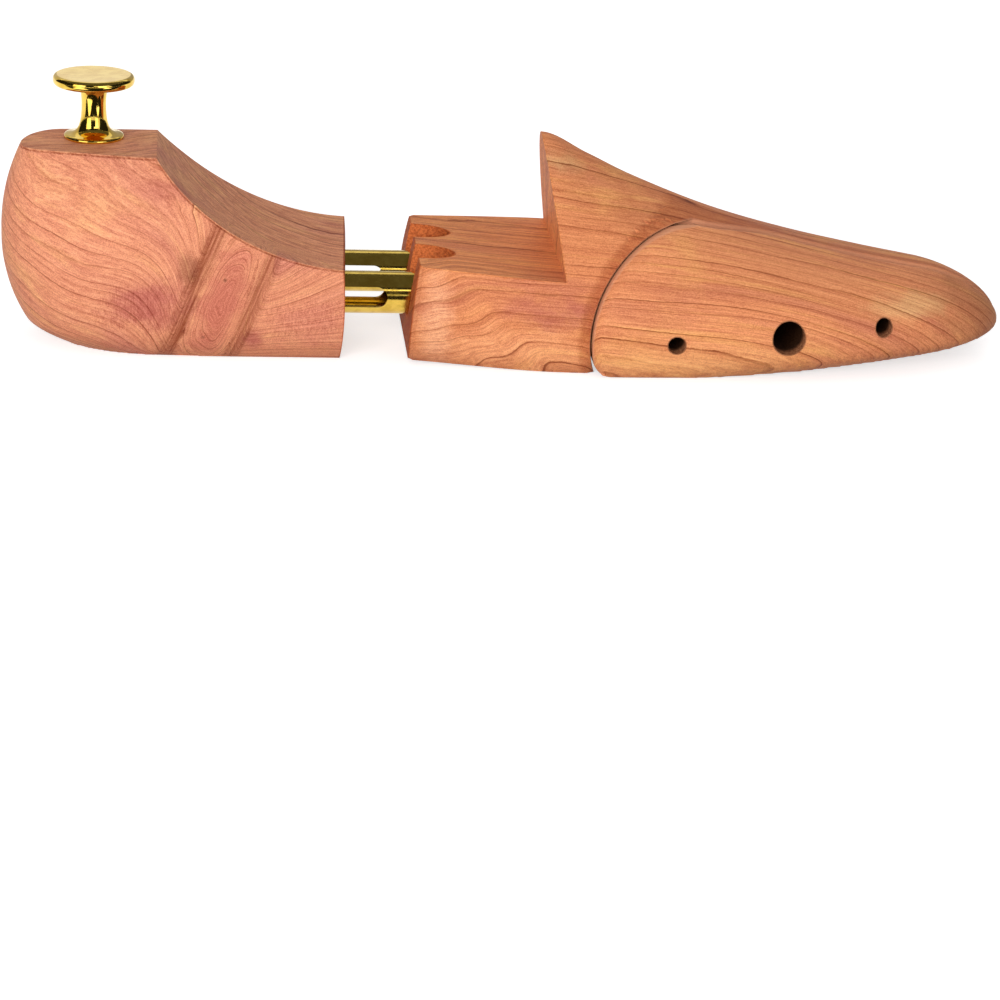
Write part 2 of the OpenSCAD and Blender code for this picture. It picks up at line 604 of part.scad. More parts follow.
// Turned knob on the flat top, with a blind hole for its screw
knob_y = (heel_top_len - knob_x) * tan(heel_turn) + knob_side;
rim_r = knob_rim / 2;
module knob() {
    flare_r = (knob_foot_d - knob_stem_d) / 2 - 0.8;
    dome_r = (pow(knob_d / 2 - rim_r, 2) + knob_dome * knob_dome) / (2 * knob_dome);
    color(brass) translate([x_knob, knob_y, heel_h]) difference() {
        rotate_extrude($fn = 96) {
            square([knob_foot_d / 2, knob_foot_t]);
            square([knob_stem_d / 2, knob_neck_h + 1]);
            // Flare from the flange up to the stem
            difference() {
                square([knob_stem_d / 2 + flare_r, knob_flare_h]);
                translate([knob_stem_d / 2 + flare_r, knob_flare_h])
                    scale([1, (knob_flare_h - knob_foot_t) / flare_r]) circle(r = flare_r);
            }
            // Collar under the disc
            translate([0, knob_neck_h - knob_collar_h]) square([knob_collar_d / 2, knob_collar_h + 1]);
            // Disc with a round rim and a domed top
            translate([0, knob_neck_h]) square([knob_d / 2 - rim_r, knob_rim]);
            translate([knob_d / 2 - rim_r, knob_neck_h + rim_r]) circle(r = rim_r, $fn = 32);
            intersection() {
                translate([0, knob_neck_h + knob_rim + knob_dome - dome_r]) circle(r = dome_r, $fn = 360);
                translate([0, knob_neck_h + rim_r]) square([knob_d / 2 - rim_r, knob_rim]);
            }
        }
        translate([0, 0, -1]) cylinder(h = knob_screw_up + seat_gap + 1, d = knob_screw_d + 2 * driven_fit);
    }
}
module knob_screw() {
    color(steel) translate([x_knob, knob_y, heel_h - knob_screw_down]) {
        translate([0, 0, knob_screw_d])
            cylinder(h = knob_screw_down + knob_screw_up - knob_screw_d, d = knob_screw_d);
        cylinder(h = knob_screw_d, d1 = knob_screw_d / 4, d2 = knob_screw_d);
    }
}

module placed() {
    translate([0, y_mid, 0]) children();
}
placed() forepart();
placed() toe_wing();
placed() heel_block();
placed() tube_near();
placed() tube_far();
placed() fold_pin();
placed() heel_cross_pin();
placed() heel_spring_near();
placed() heel_spring_far();
placed() knob();
placed() knob_screw();
placed() toe_guide_rear();
placed() toe_guide_front();
placed() toe_spring_rear();
placed() toe_spring_front();
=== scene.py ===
import json
import math

import bpy
import numpy as np
from mathutils import Matrix, Vector

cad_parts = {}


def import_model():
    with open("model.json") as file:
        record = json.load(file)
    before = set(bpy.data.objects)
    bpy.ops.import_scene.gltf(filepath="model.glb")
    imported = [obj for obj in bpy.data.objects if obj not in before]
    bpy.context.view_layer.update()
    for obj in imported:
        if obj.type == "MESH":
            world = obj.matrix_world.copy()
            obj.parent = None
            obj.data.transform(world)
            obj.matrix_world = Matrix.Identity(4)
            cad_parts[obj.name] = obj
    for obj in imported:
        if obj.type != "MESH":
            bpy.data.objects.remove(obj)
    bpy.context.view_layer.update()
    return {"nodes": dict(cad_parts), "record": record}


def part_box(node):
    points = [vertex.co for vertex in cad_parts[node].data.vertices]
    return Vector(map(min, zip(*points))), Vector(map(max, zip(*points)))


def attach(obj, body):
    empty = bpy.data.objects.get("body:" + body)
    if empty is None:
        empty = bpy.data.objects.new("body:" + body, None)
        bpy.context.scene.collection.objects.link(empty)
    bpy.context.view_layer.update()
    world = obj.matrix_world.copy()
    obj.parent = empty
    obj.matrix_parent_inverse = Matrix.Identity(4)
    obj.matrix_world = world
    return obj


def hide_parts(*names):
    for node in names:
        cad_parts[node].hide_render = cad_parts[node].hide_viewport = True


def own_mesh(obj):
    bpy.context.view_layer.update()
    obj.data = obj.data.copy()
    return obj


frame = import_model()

MM = 0.001

# Sizes in mm and angles in degrees, nearly all named as in the part's source
FORE_LEN, HEEL_LEN, GAP = 178.0, 99.5, 20.0
BALL_W, INSTEP_H = 79.0, 63.3
PLATFORM_H, PLATFORM_LEN, PLATFORM_FALL, STEP_LEAN = 29.7, 43.4, 3.0, 9.0
TOE_TIP_Z, TOE_ROUND, TOE_NOSE = 9.8, 70.0, 24.0
FORE_FACE_R, FORE_FACE_Z, FORE_FACE_OUT = 140.0, 3.0, 1.1
SEAM_R, SEAM_X, SEAM_Z, SEAM_GAP, WING_CORNER_R = 30.0, 80.8, 11.0, 0.5, 4.0
SPLIT_Y, SPLIT_SWEEP, KERF, WING_TRAVEL = 3.0, 9.0, 1.5, 3.5
SWEEP_X, SWEEP_LEN = SEAM_X + SEAM_R + 1.2, SEAM_R + 2
BEVEL, BEVEL_DEEP, BEVEL_END, BEVEL_FADE = 2.6, 1.0, 88.0, 24.0
VENT_X, VENT_Z, VENT_D = 108.0, 13.8, 9.6
GUIDES = ((75.3, 11.6), (137.0, 15.5))
GUIDE_HOLE_D, GUIDE_PIN_D, GUIDE_FIT, GUIDE_WEB = 5.1, 3.0, 0.1, 6.0
TOE_POCKET_D, TOE_POCKET_BODY, TOE_POCKET_WING = 8.6, 6.0, 4.0
TOE_SPRING_D, TOE_WIRE, TOE_CURLS = 7.6, 0.9, 6
HEEL_W, HEEL_H, HEEL_TOP_W, HEEL_TOP_LEN = 58.6, 57.5, 34.2, 45.0
HEEL_FRONT_H, HOLLOW_R, HEEL_WIDE_Z, HEEL_BACK_Z = 28.6, 76.0, 22.0, 29.0
HEEL_BACK_TOP, HEEL_BACK_SOLE, HEEL_EDGE, HEEL_TURN, HEEL_SKEW = 6.5, 10.9, 6.0, 6.0, 0.28
HEEL_P, HEEL_Q, HEEL_SOLE_SHARE, HEEL_ROUND_P = 2.5, 3, 0.76, 0.87
HEEL_FACE_R, HEEL_FACE_TURN = 120.0, 2.5
KNOB_X, KNOB_Y, SCREW_D, SCREW_DOWN = 26.6, 6.334, 4.0, 17.0
TUBE_D, TUBE_Y, TUBE_Z, PIVOT_IN, TUBE_IN_HEEL, FOLD_MAX = 12.5, 11.0, 16.8, 15.0, 46.0, 45.0
HEEL_SPRING_D, HEEL_WIRE, HEEL_CURLS, HEEL_SPRING_LEN, HEEL_TRAVEL = 12.2, 1.3, 13, 33.0, 13.0
PIN_D, HEEL_PIN_IN, FOLD_PIN_NEAR, HEEL_PIN_NEAR = 5.0, 14.0, -24.0, -20.0
FOLD_ROOM, FOLD_FLOOR, TUBE_FIT, DRIVEN_FIT, SEAT_GAP = 0.75, 0.3, 0.2, 0.02, 0.1
# Rounds that only the scene has
WING_EDGE, REAR_CHAMFER = 3.0, 1.0

X_BACK = -(HEEL_LEN + GAP + FORE_LEN) / 2
X_HEEL = X_BACK + HEEL_LEN
X_FORE = X_HEEL + GAP
X_FOLD = X_FORE + PIVOT_IN
Y_MID = WING_TRAVEL / 2
WING_OUT = WING_TRAVEL + KERF

# Lines of the last from the forepart's rear face (0) to the toe (1), as in the part's source: the ridge,
# the half width, the underside, the widest level, the upper section's roundness and the sole's flat share
RIDGE = ((0, 0.94), (0.213, 1), (0.29, 0.903), (0.365, 0.801), (0.506, 0.643), (0.646, 0.527),
         (0.775, 0.449), (0.871, 0.405), (1, 0.35))
HALF = ((0, 0.8), (0.225, 0.95), (0.48, 1), (0.6, 0.985), (0.73, 0.93), (1, 0.84))
KEEL = ((0, 0.016), (0.22, 0), (0.45, 0), (0.62, 0.022), (0.79, 0.053), (1, 0.085))
WIDE = ((0, 0.235), (0.34, 0.22), (0.62, 0.189), (0.84, 0.171), (1, 0.162))
UPPER = ((0, 1.5), (0.25, 1.53), (0.56, 1.8), (0.79, 2), (1, 2.1))
SOLE = ((0, 0.84), (0.225, 0.88), (0.4, 0.86), (0.62, 0.8), (1, 0.7))
SOLE_P, SOLE_Q = 2.6, 3.0


# Forms of the wood, as distances to their faces in mm, about: below 0 inside. A place p is a triple of arrays
def curve(points, x):
    """Smooth line through points, level beyond its ends."""
    px, py = np.array(points, float).T
    n = len(px)
    lo, hi = np.maximum(np.arange(n) - 1, 0), np.minimum(np.arange(n) + 1, n - 1)
    m = (py[hi] - py[lo]) / (px[hi] - px[lo])
    x = np.clip(x, px[0], px[-1])
    k = np.clip(np.searchsorted(px, x, side="right") - 1, 0, n - 2)
    h = px[k + 1] - px[k]
    t = (x - px[k]) / h
    u = 1 - t
    return ((1 + 2 * t) * u * u * py[k] + t * u * u * h * m[k]
            + t * t * (3 - 2 * t) * py[k + 1] - t * t * u * h * m[k + 1])


def rounded(d, r):
    """Share that an elliptical round of length r leaves at a distance d inside its end."""
    return np.where(d >= r, 1.0, np.sqrt(np.maximum(1e-6, 1 - (1 - np.clip(d, 0, r) / r) ** 2)))


def level(line, x):
    """Height of one of the last's lines at a distance from the rear face. They meet at the toe's tip."""
    share = np.maximum(0, curve(line, np.clip(x / FORE_LEN, 0, 1)))
    return TOE_TIP_Z + (INSTEP_H * share - TOE_TIP_Z) * rounded(FORE_LEN - x, TOE_NOSE)


def last(p, y_shift=0.0):
    """Distance to the surface of the shoe last."""
    x, y, z = p[0] - X_FORE, np.abs(p[1] - y_shift), p[2]
    s = np.clip(x / FORE_LEN, 0, 1)
    top, keel, wide = level(RIDGE, x), level(KEEL, x), level(WIDE, x)
    half = BALL_W / 2 * curve(HALF, s) * rounded(FORE_LEN - x, TOE_ROUND)
    pu = curve(UPPER, s)
    a = y / half
    u = np.maximum(z - wide, 1e-4) / (top - wide)
    gu = (a ** pu + u ** pu) ** (1 / pu)
    du = np.hypot(gu ** (1 - pu) * a ** (pu - 1) / half, gu ** (1 - pu) * u ** (pu - 1) / (top - wide))
    v = np.maximum(wide - z, 1e-4) / (wide - keel)
    c = 1 - curve(SOLE, s) ** SOLE_Q
    gl = (a ** SOLE_Q + c * v ** SOLE_P) ** (1 / SOLE_Q)
    dl = np.hypot(gl ** (1 - SOLE_Q) * a ** (SOLE_Q - 1) / half,
                  gl ** (1 - SOLE_Q) * c * SOLE_P / SOLE_Q * v ** (SOLE_P - 1) / (wide - keel))
    out = np.where(z >= wide, (gu - 1) / np.maximum(du, 1e-3), (gl - 1) / np.maximum(dl, 1e-3))
    return np.maximum(out, x - FORE_LEN)


def keel_plane(p):
    return level(KEEL, p[0] - X_FORE) - p[2]


def pocket(p, r):
    """Distance to the pocket's outline in the XZ plane: a round end, then a level top."""
    x, z = p[0] - X_FORE - SEAM_X, p[2] - SEAM_Z
    return np.where(x < 0, np.hypot(x, z), z) - r


def cut_face(p, out):
    """How far a point lies on the middle's side of the cut face, moved out by some distance."""
    t = np.clip((SWEEP_X - (p[0] - X_FORE)) / SWEEP_LEN, 0, 1)
    return p[1] + SPLIT_Y + out + SPLIT_SWEEP * (1 - np.cos(np.pi * t)) / 2


def round_both(a, b, r):
    """The larger of two distances, with the edge between the two faces rounded."""
    return np.minimum(-r, np.maximum(a, b)) + np.hypot(np.maximum(a + r, 0), np.maximum(b + r, 0))


def guide_levels(guide):
    """Levels along Y at a guide: the forepart's pocket floor, the wing's, and the pin head's shoulder."""
    face = -float(cut_face((X_FORE + guide[0], 0.0), 0))
    wing_floor = face - WING_OUT - TOE_POCKET_WING
    return face + TOE_POCKET_BODY, wing_floor, wing_floor - GUIDE_WEB


# A block is a list of clauses, and a clause a list of distances, each with its kind of face. The block lies
# where every clause has a distance below 0, so a clause with one distance trims it and others cut hollows.
# Where a face doesn't reach, its distance is CLEAR
CLEAR = -5.0


def beyond(axis, place):
    return lambda p: p[axis] - place


def before(axis, place):
    return lambda p: place - p[axis]


def rod_x(y, z, diameter):
    return lambda p: diameter / 2 - np.hypot(p[1] - y, p[2] - z)


def rod_y(x, z, diameter):
    return lambda p: diameter / 2 - np.hypot(p[0] - x, p[2] - z)


def bored(*distances):
    """Clause for a bore: the space where all of its distances are above 0."""
    return [(distance, "bored") for distance in distances]


def tube_recess(y):
    """Level bore, raised bore, the way between them and their round end, for one tube in the forepart."""
    r = TUBE_D / 2 + FOLD_ROOM
    rise = FOLD_ROOM - FOLD_FLOOR
    s, c = math.sin(math.radians(FOLD_MAX)), math.cos(math.radians(FOLD_MAX))
    return [
        bored(rod_x(y, TUBE_Z + rise, 2 * r), before(0, X_FOLD + r)),
        bored(lambda p: r - np.hypot(p[1] - y, (p[0] - X_FOLD) * s + (p[2] - TUBE_Z) * c),
              lambda p: (X_FOLD - p[0]) * c + (p[2] - TUBE_Z) * s),
        bored(lambda p: r - np.abs(p[1] - y), beyond(2, TUBE_Z),
              lambda p: (X_FOLD - p[0]) * s - (p[2] - TUBE_Z) * c),
        bored(lambda p: r - np.sqrt((p[0] - X_FOLD) ** 2 + (p[1] - y) ** 2 + (p[2] - TUBE_Z) ** 2)),
    ]


def forepart_clauses():
    lean, fall = math.radians(STEP_LEAN), math.radians(PLATFORM_FALL)
    step_z = PLATFORM_H - PLATFORM_LEN * math.tan(fall)

    def platform(p):
        return (p[2] - PLATFORM_H + (p[0] - X_FORE) * math.tan(fall)) * math.cos(fall)

    def step(p):
        return (X_FORE + PLATFORM_LEN - p[0]) * math.cos(lean) - (p[2] - step_z) * math.sin(lean)

    def bevel(p):
        beside = np.clip(pocket(p, SEAM_R), -1, 10)
        along = np.arctan2(p[2] - SEAM_Z, SEAM_X + X_FORE - p[0])
        fade = np.clip((math.radians(BEVEL_END) - along) / math.radians(BEVEL_FADE), 0, 1)
        return np.where(p[1] < 0, last(p) + BEVEL_DEEP * fade * (1 - beside / BEVEL), CLEAR)

    def rear(p):
        bow = np.hypot(p[0] - X_FORE + FORE_FACE_OUT - FORE_FACE_R, p[2] - FORE_FACE_Z) - FORE_FACE_R
        return np.where(p[0] < X_FORE + 6, bow, CLEAR)

    def chamfer(p):
        return np.maximum(CLEAR, (last(p) + rear(p)) / math.sqrt(2) + REAR_CHAMFER)

    clauses = [[(last, "flank")], [(keel_plane, "sole")], [(rear, "sawn")], [(chamfer, "flank")],
               [(platform, "planed"), (step, "planed")],
               [(lambda p: -pocket(p, SEAM_R), "wall"), (lambda p: -cut_face(p, 0), "split")],
               [(bevel, "bevel")]]
    clauses += tube_recess(-TUBE_Y) + tube_recess(TUBE_Y)
    clauses.append(bored(rod_y(X_FOLD, TUBE_Z, PIN_D + 2 * DRIVEN_FIT), beyond(1, FOLD_PIN_NEAR)))
    for guide in GUIDES:
        floor, _, _ = guide_levels(guide)
        clauses.append(bored(rod_y(X_FORE + guide[0], guide[1], TOE_POCKET_D), before(1, floor)))
    return clauses


def wing_clauses():
    def outline(p):
        return round_both(pocket(p, SEAM_R - SEAM_GAP), -p[2], WING_CORNER_R)

    def rounded_edge(p):
        """The edge between the wing's side and its wall, whose round fades out along the top."""
        fade = np.clip((SEAM_X + X_FORE + 4 - p[0]) / 16, 0.02, 1)
        return round_both(last(p, -WING_TRAVEL), pocket(p, SEAM_R - SEAM_GAP), WING_EDGE * fade)

    clauses = [[(lambda p: last(p, -WING_TRAVEL), "flank")], [(keel_plane, "sole")], [(outline, "wall")],
               [(rounded_edge, "flank")], [(lambda p: cut_face(p, WING_OUT), "split")],
               bored(rod_y(X_FORE + VENT_X, VENT_Z, VENT_D))]
    for guide in GUIDES:
        place = (X_FORE + guide[0], guide[1])
        _, floor, shoulder = guide_levels(guide)
        clauses += [bored(rod_y(*place, TOE_POCKET_D), beyond(1, floor)),
                    bored(rod_y(*place, GUIDE_HOLE_D), before(1, shoulder)),
                    bored(rod_y(*place, GUIDE_PIN_D + 2 * GUIDE_FIT))]
    return clauses


def heel_clauses():
    def upper_share(z, start):
        return np.maximum(0, (z / HEEL_H - start) / (1 - start))

    def width_share(z):
        above = np.maximum(z - HEEL_WIDE_Z, 0) / (HEEL_H - HEEL_WIDE_Z)
        below = np.maximum(1 - z / HEEL_WIDE_Z, 0)
        return np.where(z >= HEEL_WIDE_Z, 1 - (1 - HEEL_TOP_W / HEEL_W) * above ** HEEL_P,
                        (1 - below ** HEEL_Q * (1 - HEEL_SOLE_SHARE ** HEEL_Q)) ** (1 / HEEL_Q))

    def back_inset(z):
        above = np.maximum(z - HEEL_BACK_Z, 0) / (HEEL_H - HEEL_BACK_Z)
        below = np.maximum(1 - z / HEEL_BACK_Z, 0)
        return np.where(z >= HEEL_BACK_Z, HEEL_BACK_TOP * above ** 2.2,
                        HEEL_BACK_SOLE * below ** 2.1 + HEEL_EDGE * np.maximum(1 - z / HEEL_EDGE, 0) ** 1.6)

    def block(p):
        """Distance to the turned block: level outlines with a round back, skewed and turned higher up."""
        x, y, z = p
        z = np.clip(z, 0, HEEL_H + 3)
        inset = back_inset(z)
        back = X_BACK + inset
        d = x - back
        for _ in range(3):
            lead = np.maximum(0, HEEL_TOP_LEN - inset - d)
            local = y - lead * math.tan(math.radians(HEEL_TURN)) * upper_share(z, 0)
            behind = np.clip(1 - d / (X_HEEL - back), 0, 1.2)
            d = x - back - HEEL_SKEW * upper_share(z, 0.35) * local * behind ** 2
        taper = 0.88 - 0.24 * upper_share(z, 0.4)
        narrow = (1 - taper) * (1 - np.clip(d / (HEEL_TOP_LEN + 5), 0, 1)) ** 1.5
        w = HEEL_W / 2 * width_share(z) * (1 - narrow)
        r = 30 - 22 * upper_share(z, 0.45) ** 1.5
        n = 2 / HEEL_ROUND_P
        e = np.maximum(0, 1 - d / r)
        a = np.abs(local) / w
        g = (e ** n + a ** n) ** (1 / n)
        least = np.maximum(g, 1e-3)
        grad = np.hypot(least ** (1 - n) * e ** (n - 1) / r, least ** (1 - n) * a ** (n - 1) / w)
        return (g - 1) / np.maximum(grad, 1e-2)

    # Centre of the hollow between the flat top and the front face
    top = np.array([X_BACK + HEEL_TOP_LEN, HEEL_H])
    front = np.array([X_HEEL - 0.4, HEEL_FRONT_H])
    chord = np.linalg.norm(front - top)
    rise = math.sqrt(HOLLOW_R ** 2 - chord ** 2 / 4)
    centre = (top + front) / 2 + rise * np.array([top[1] - front[1], front[0] - top[0]]) / chord

    def hollow(p):
        return HOLLOW_R - np.hypot(p[0] - centre[0], p[2] - centre[1])

    def front_face(p):
        turn = math.radians(HEEL_FACE_TURN)
        x = (p[0] - X_HEEL) * math.cos(turn) - (p[1] + HEEL_W / 2) * math.sin(turn)
        return np.where(x > -6, np.hypot(x + HEEL_FACE_R, p[2] - TUBE_Z) - HEEL_FACE_R, CLEAR)

    def screw_hole(p):
        return SCREW_D / 2 + DRIVEN_FIT - np.hypot(p[0] - X_BACK - KNOB_X, p[1] - KNOB_Y)

    bore_end = X_HEEL - TUBE_IN_HEEL - HEEL_SPRING_LEN - 2 * SEAT_GAP
    clauses = [[(block, "flank")], [(before(2, 0), "sole")], [(beyond(2, HEEL_H), "planed")],
               [(hollow, "hollow")], [(front_face, "sawn")]]
    for y in (-TUBE_Y, TUBE_Y):
        clauses.append(bored(rod_x(y, TUBE_Z, TUBE_D + 2 * TUBE_FIT), beyond(0, bore_end)))
    pin_hole = rod_y(X_HEEL - HEEL_PIN_IN, TUBE_Z, PIN_D + 2 * DRIVEN_FIT)
    clauses.append(bored(pin_hole, beyond(1, HEEL_PIN_NEAR)))
    clauses.append(bored(screw_hole, beyond(2, HEEL_H - SCREW_DOWN)))
    return clauses


# Mesh over a block's surface
def field(clauses, p):
    """Distance out of the wood: below 0 where every clause has a distance below 0."""
    out = -np.inf
    for clause in clauses:
        value = np.inf
        for distance, _ in clause:
            value = np.minimum(value, distance(p))
        out = np.maximum(out, value)
    return out


def edge_ends(axis):
    """Slices for the two ends of all grid edges along an axis."""
    first, second = [slice(None)] * 3, [slice(None)] * 3
    first[axis], second[axis] = slice(None, -1), slice(1, None)
    return tuple(first), tuple(second)


def cell_crossings(value):
    """For each grid cell, how many of its edges cross the surface, and the sum of the crossings' places."""
    cells = tuple(n - 1 for n in value.shape)
    count = np.zeros(cells, np.int16)
    total = np.zeros(cells + (3,), np.float32)
    for axis in range(3):
        first, second = edge_ends(axis)
        va, vb = value[first], value[second]
        cross = (va < 0) != (vb < 0)
        edges = np.argwhere(cross)
        places = edges.astype(np.float32)
        places[:, axis] += va[cross] / (va[cross] - vb[cross])
        others = [o for o in range(3) if o != axis]
        for du, dw in ((0, 0), (0, -1), (-1, 0), (-1, -1)):
            cell = edges.copy()
            cell[:, others[0]] += du
            cell[:, others[1]] += dw
            ok = np.all((cell >= 0) & (cell < np.array(cells)), axis=1)
            np.add.at(count, tuple(cell[ok].T), 1)
            np.add.at(total, tuple(cell[ok].T), places[ok])
    return count, total


def net_quads(inside, index):
    """A quad round each grid edge that crosses the surface, facing outwards. It joins the cells' points."""
    quads = []
    for axis in range(3):
        first, second = edge_ends(axis)
        edges = np.argwhere(inside[first] != inside[second])
        u, w = (axis + 1) % 3, (axis + 2) % 3
        edges = edges[(edges[:, u] > 0) & (edges[:, w] > 0)
                      & (edges[:, u] < index.shape[u]) & (edges[:, w] < index.shape[w])]
        corners = []
        for du, dw in ((-1, -1), (0, -1), (0, 0), (-1, 0)):
            cell = edges.copy()
            cell[:, u] += du
            cell[:, w] += dw
            corners.append(index[tuple(cell.T)])
        quad = np.stack(corners, 1)
        turned = ~inside[tuple(edges.T)]
        quad[turned] = quad[turned][:, ::-1]
        quads.append(quad)
    return np.concatenate(quads)


def gradient(distance, p, step=0.02):
    moves = step * np.eye(3)[:, :, None]
    return np.array([(distance(p + d) - distance(p - d)) / (2 * step) for d in moves])


def snap(points, centre, cell, clauses):
    """Move each point onto the up to three faces near it, so that edges and corners come out sharp."""
    leaves = [leaf for clause in clauses for leaf in clause]
    owner = np.array([k for k, clause in enumerate(clauses) for _ in clause])
    column = np.arange(len(points))
    for turn in range(5):
        p = points.T
        values = np.array([distance(p) for distance, _ in leaves])
        least = np.full((len(clauses), len(points)), np.inf)
        for k, own in enumerate(owner):
            least[own] = np.minimum(least[own], values[k])
        top = least.max(0)
        reach = cell * (0.75 if turn < 3 else 0.45)
        grads = np.zeros((len(leaves), 3, len(points)))
        near = np.zeros(values.shape, bool)
        for k, (distance, _) in enumerate(leaves):
            value = least[owner[k]]
            near[k] = (values[k] <= value + reach) & (value >= top - reach) & (np.abs(values[k]) < 1.5 * cell)
            if near[k].any():
                grads[k][:, near[k]] = gradient(distance, p[:, near[k]])
        length = np.linalg.norm(grads, axis=1)
        ok = near & (length > 0.2) & (length < 5)
        closest = np.argsort(np.where(ok, np.abs(values), 1e9), axis=0)[:3]
        g = np.stack([np.where(ok[o, column][:, None], grads[o, :, column], 0) for o in closest], 1)
        off = np.stack([np.where(ok[o, column], values[o, column], 0) for o in closest], 1)
        weight = np.linalg.solve(g @ g.transpose(0, 2, 1) + 0.03 * np.eye(3), -off[:, :, None])
        move = (g.transpose(0, 2, 1) @ weight)[:, :, 0]
        size = np.linalg.norm(move, axis=1, keepdims=True)
        points = points + move * np.minimum(1, 0.5 * cell / np.maximum(size, 1e-9))
        points = centre + np.clip(points - centre, -0.95 * cell, 0.95 * cell)
    return points


# Distance that stands for a kind of face which a block doesn't have
FAR = 60.0


def kind_distances(points, clauses):
    """For each kind of face, how far the points lie from such faces: 0 on them, below 0 beside them."""
    kinds = {}
    for clause in clauses:
        values = np.array([distance(points.T) for distance, _ in clause])
        active, value = values.argmin(0), values.min(0)
        for name in {kind for _, kind in clause}:
            mine = np.isin(active, [k for k, (_, kind) in enumerate(clause) if kind == name])
            own = np.where(mine, value, -FAR)
            kinds[name] = np.maximum(kinds.get(name, np.full(len(points), -FAR)), own)
    return kinds


def surface_net(lo, hi, cell, clauses):
    """Points and quads over a block's surface, and the points' distances to each kind of face."""
    axes = [np.arange(a - cell * 1.37, b + cell * 1.6, cell) for a, b in zip(lo, hi)]
    grid = np.meshgrid(*axes, indexing="ij", sparse=True)
    value = np.broadcast_to(field(clauses, grid), tuple(len(a) for a in axes)).copy()
    value[value == 0] = 1e-6
    count, total = cell_crossings(value)
    used = count > 0
    index = np.full(count.shape, -1, np.int64)
    index[used] = np.arange(used.sum())
    base = np.array([a[0] for a in axes])
    points = base + cell * total[used] / count[used][:, None]
    centre = base + cell * (np.argwhere(used) + 0.5)
    points = snap(points, centre, cell, clauses)
    return points, net_quads(value < 0, index), kind_distances(points, clauses)


# Grain: for each point of a block, how far it lies across the growth rings and along the fibres, in mm
def loops(x, z):
    """Rise of the grain lines over the forepart's rear flank, which peak along a slanting line."""
    t = x - (16 + 1.1 * (24.5 - z))
    behind = -1.6 * np.log1p(np.exp(-np.maximum(t, -60) / 1.6))
    return 7.0 * (1 - np.exp(behind / 10)) - 0.9 * np.exp(-((t + 17) / 5) ** 2) + 0.17 * (t - behind)


def grain_forepart(p):
    x, y, z = p[0] - X_FORE, p[1], p[2]
    near = np.clip((-y - 10) / 12, 0, 1)
    across = z + 0.70 * y + near * loops(x, z) + (1 - near) * 0.15 * x
    across = across + 1.5 * np.sin(x / 31 + z / 23) + 0.35 * np.sin(x / 9.5 - z / 14)
    return across, x - 0.1 * z


def grain_wing(p):
    x, y, z = p[0] - X_FORE, p[1], p[2]
    across = z + 0.86 * y + 0.12 * x + 0.0019 * np.maximum(x - 88, 0) ** 2
    across = across + 1.1 * np.sin(x / 37 + z / 19 + 1.3) + 0.35 * np.sin(x / 12 + z / 9)
    return across, x - 0.1 * z


# The swirl on the heel's near side: centre, lean from upright in radians, half width and half height
SWIRL_X, SWIRL_Z, SWIRL_LEAN, SWIRL_RX, SWIRL_RZ = -84.6, 18.5, 0.37, 6.0, 21.0


def swirl_place(p):
    """Place across and along the swirl in mm, and how much of it is there: 1 on the near side, else 0."""
    x, y, z = p
    c, s = math.cos(SWIRL_LEAN), math.sin(SWIRL_LEAN)
    dx, dz = x - SWIRL_X, z - SWIRL_Z
    return c * dx - s * dz, c * dz + s * dx, np.clip((-y - 16) / 8, 0, 1) * np.clip((54 - z) / 10, 0, 1)


def grain_heel(p):
    x, y, z = p
    high = np.clip((z - 8) / 40, 0, 1)
    high = high * high * (3 - 2 * high)
    left = z + (0.09 + 0.09 * high) * (x + 128) - 0.50 * (y + 29)
    left = left + 0.9 * np.sin(x / 10 + z / 12) + 0.45 * np.sin(x / 4.7 - z / 7.5)
    u, v, near = swirl_place(p)
    # The lines run down beside the swirl on its left, and fan out upwards on its right
    beside = np.exp(-np.maximum(-u - 8.5, 0) / 8.0)
    left = left + near * (24 * beside + 0.9 * beside * np.sin(z / 1.9 + u / 3))
    right = 30 + 69 * z / np.maximum(x + 115, 20) - 0.7 * (y + 29) + 0.6 * np.sin(x / 8 + z / 6)
    side = near / (1 + np.exp(-(u - 6) / 1.8))
    base = left * (1 - side) + right * side
    ring = (np.abs(u / SWIRL_RX) ** 3.2 + np.abs(v / SWIRL_RZ) ** 3.2 + 0.002) ** (1 / 3.2)
    ring = ring + 0.05 * np.sin(3 * np.arctan2(v / 3, u) + 1) + 0.02 * np.sin(v / 1.7)
    inside = near / (1 + np.exp((ring - 1.32) * 8))
    return base * (1 - inside) + (50 - 24 * ring) * inside, x - 0.1 * z


# Pieces
def add_piece(name, points, faces, attributes):
    """Smooth-shaded piece of points in mm, each with its attributes for the materials."""
    mesh = bpy.data.meshes.new(name)
    mesh.from_pydata((np.asarray(points) * MM).tolist(), [], [tuple(face) for face in faces])
    mesh.validate()
    mesh.polygons.foreach_set("use_smooth", [True] * len(mesh.polygons))
    for key, value in attributes.items():
        attribute = mesh.attributes.new(key, "FLOAT_VECTOR", "POINT")
        attribute.data.foreach_set("vector", np.ascontiguousarray(value, np.float32).ravel())
    mesh.update()
    piece = bpy.data.objects.new(name, mesh)
    bpy.context.scene.collection.objects.link(piece)
    return piece


def stand_for(piece, node, body, slot):
    """Let a piece ride on a body in the place of a CAD node."""
    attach(piece, body)
    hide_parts(node)


def nearness(kinds, *names):
    """How far each point lies from some kinds of face, in mm: 0 on them, below 0 beside them, at most -8."""
    nothing = -FAR + 0 * kinds["flank"]
    return np.clip(np.max([kinds[name] for name in names if name in kinds] + [nothing], 0), -8, 0)


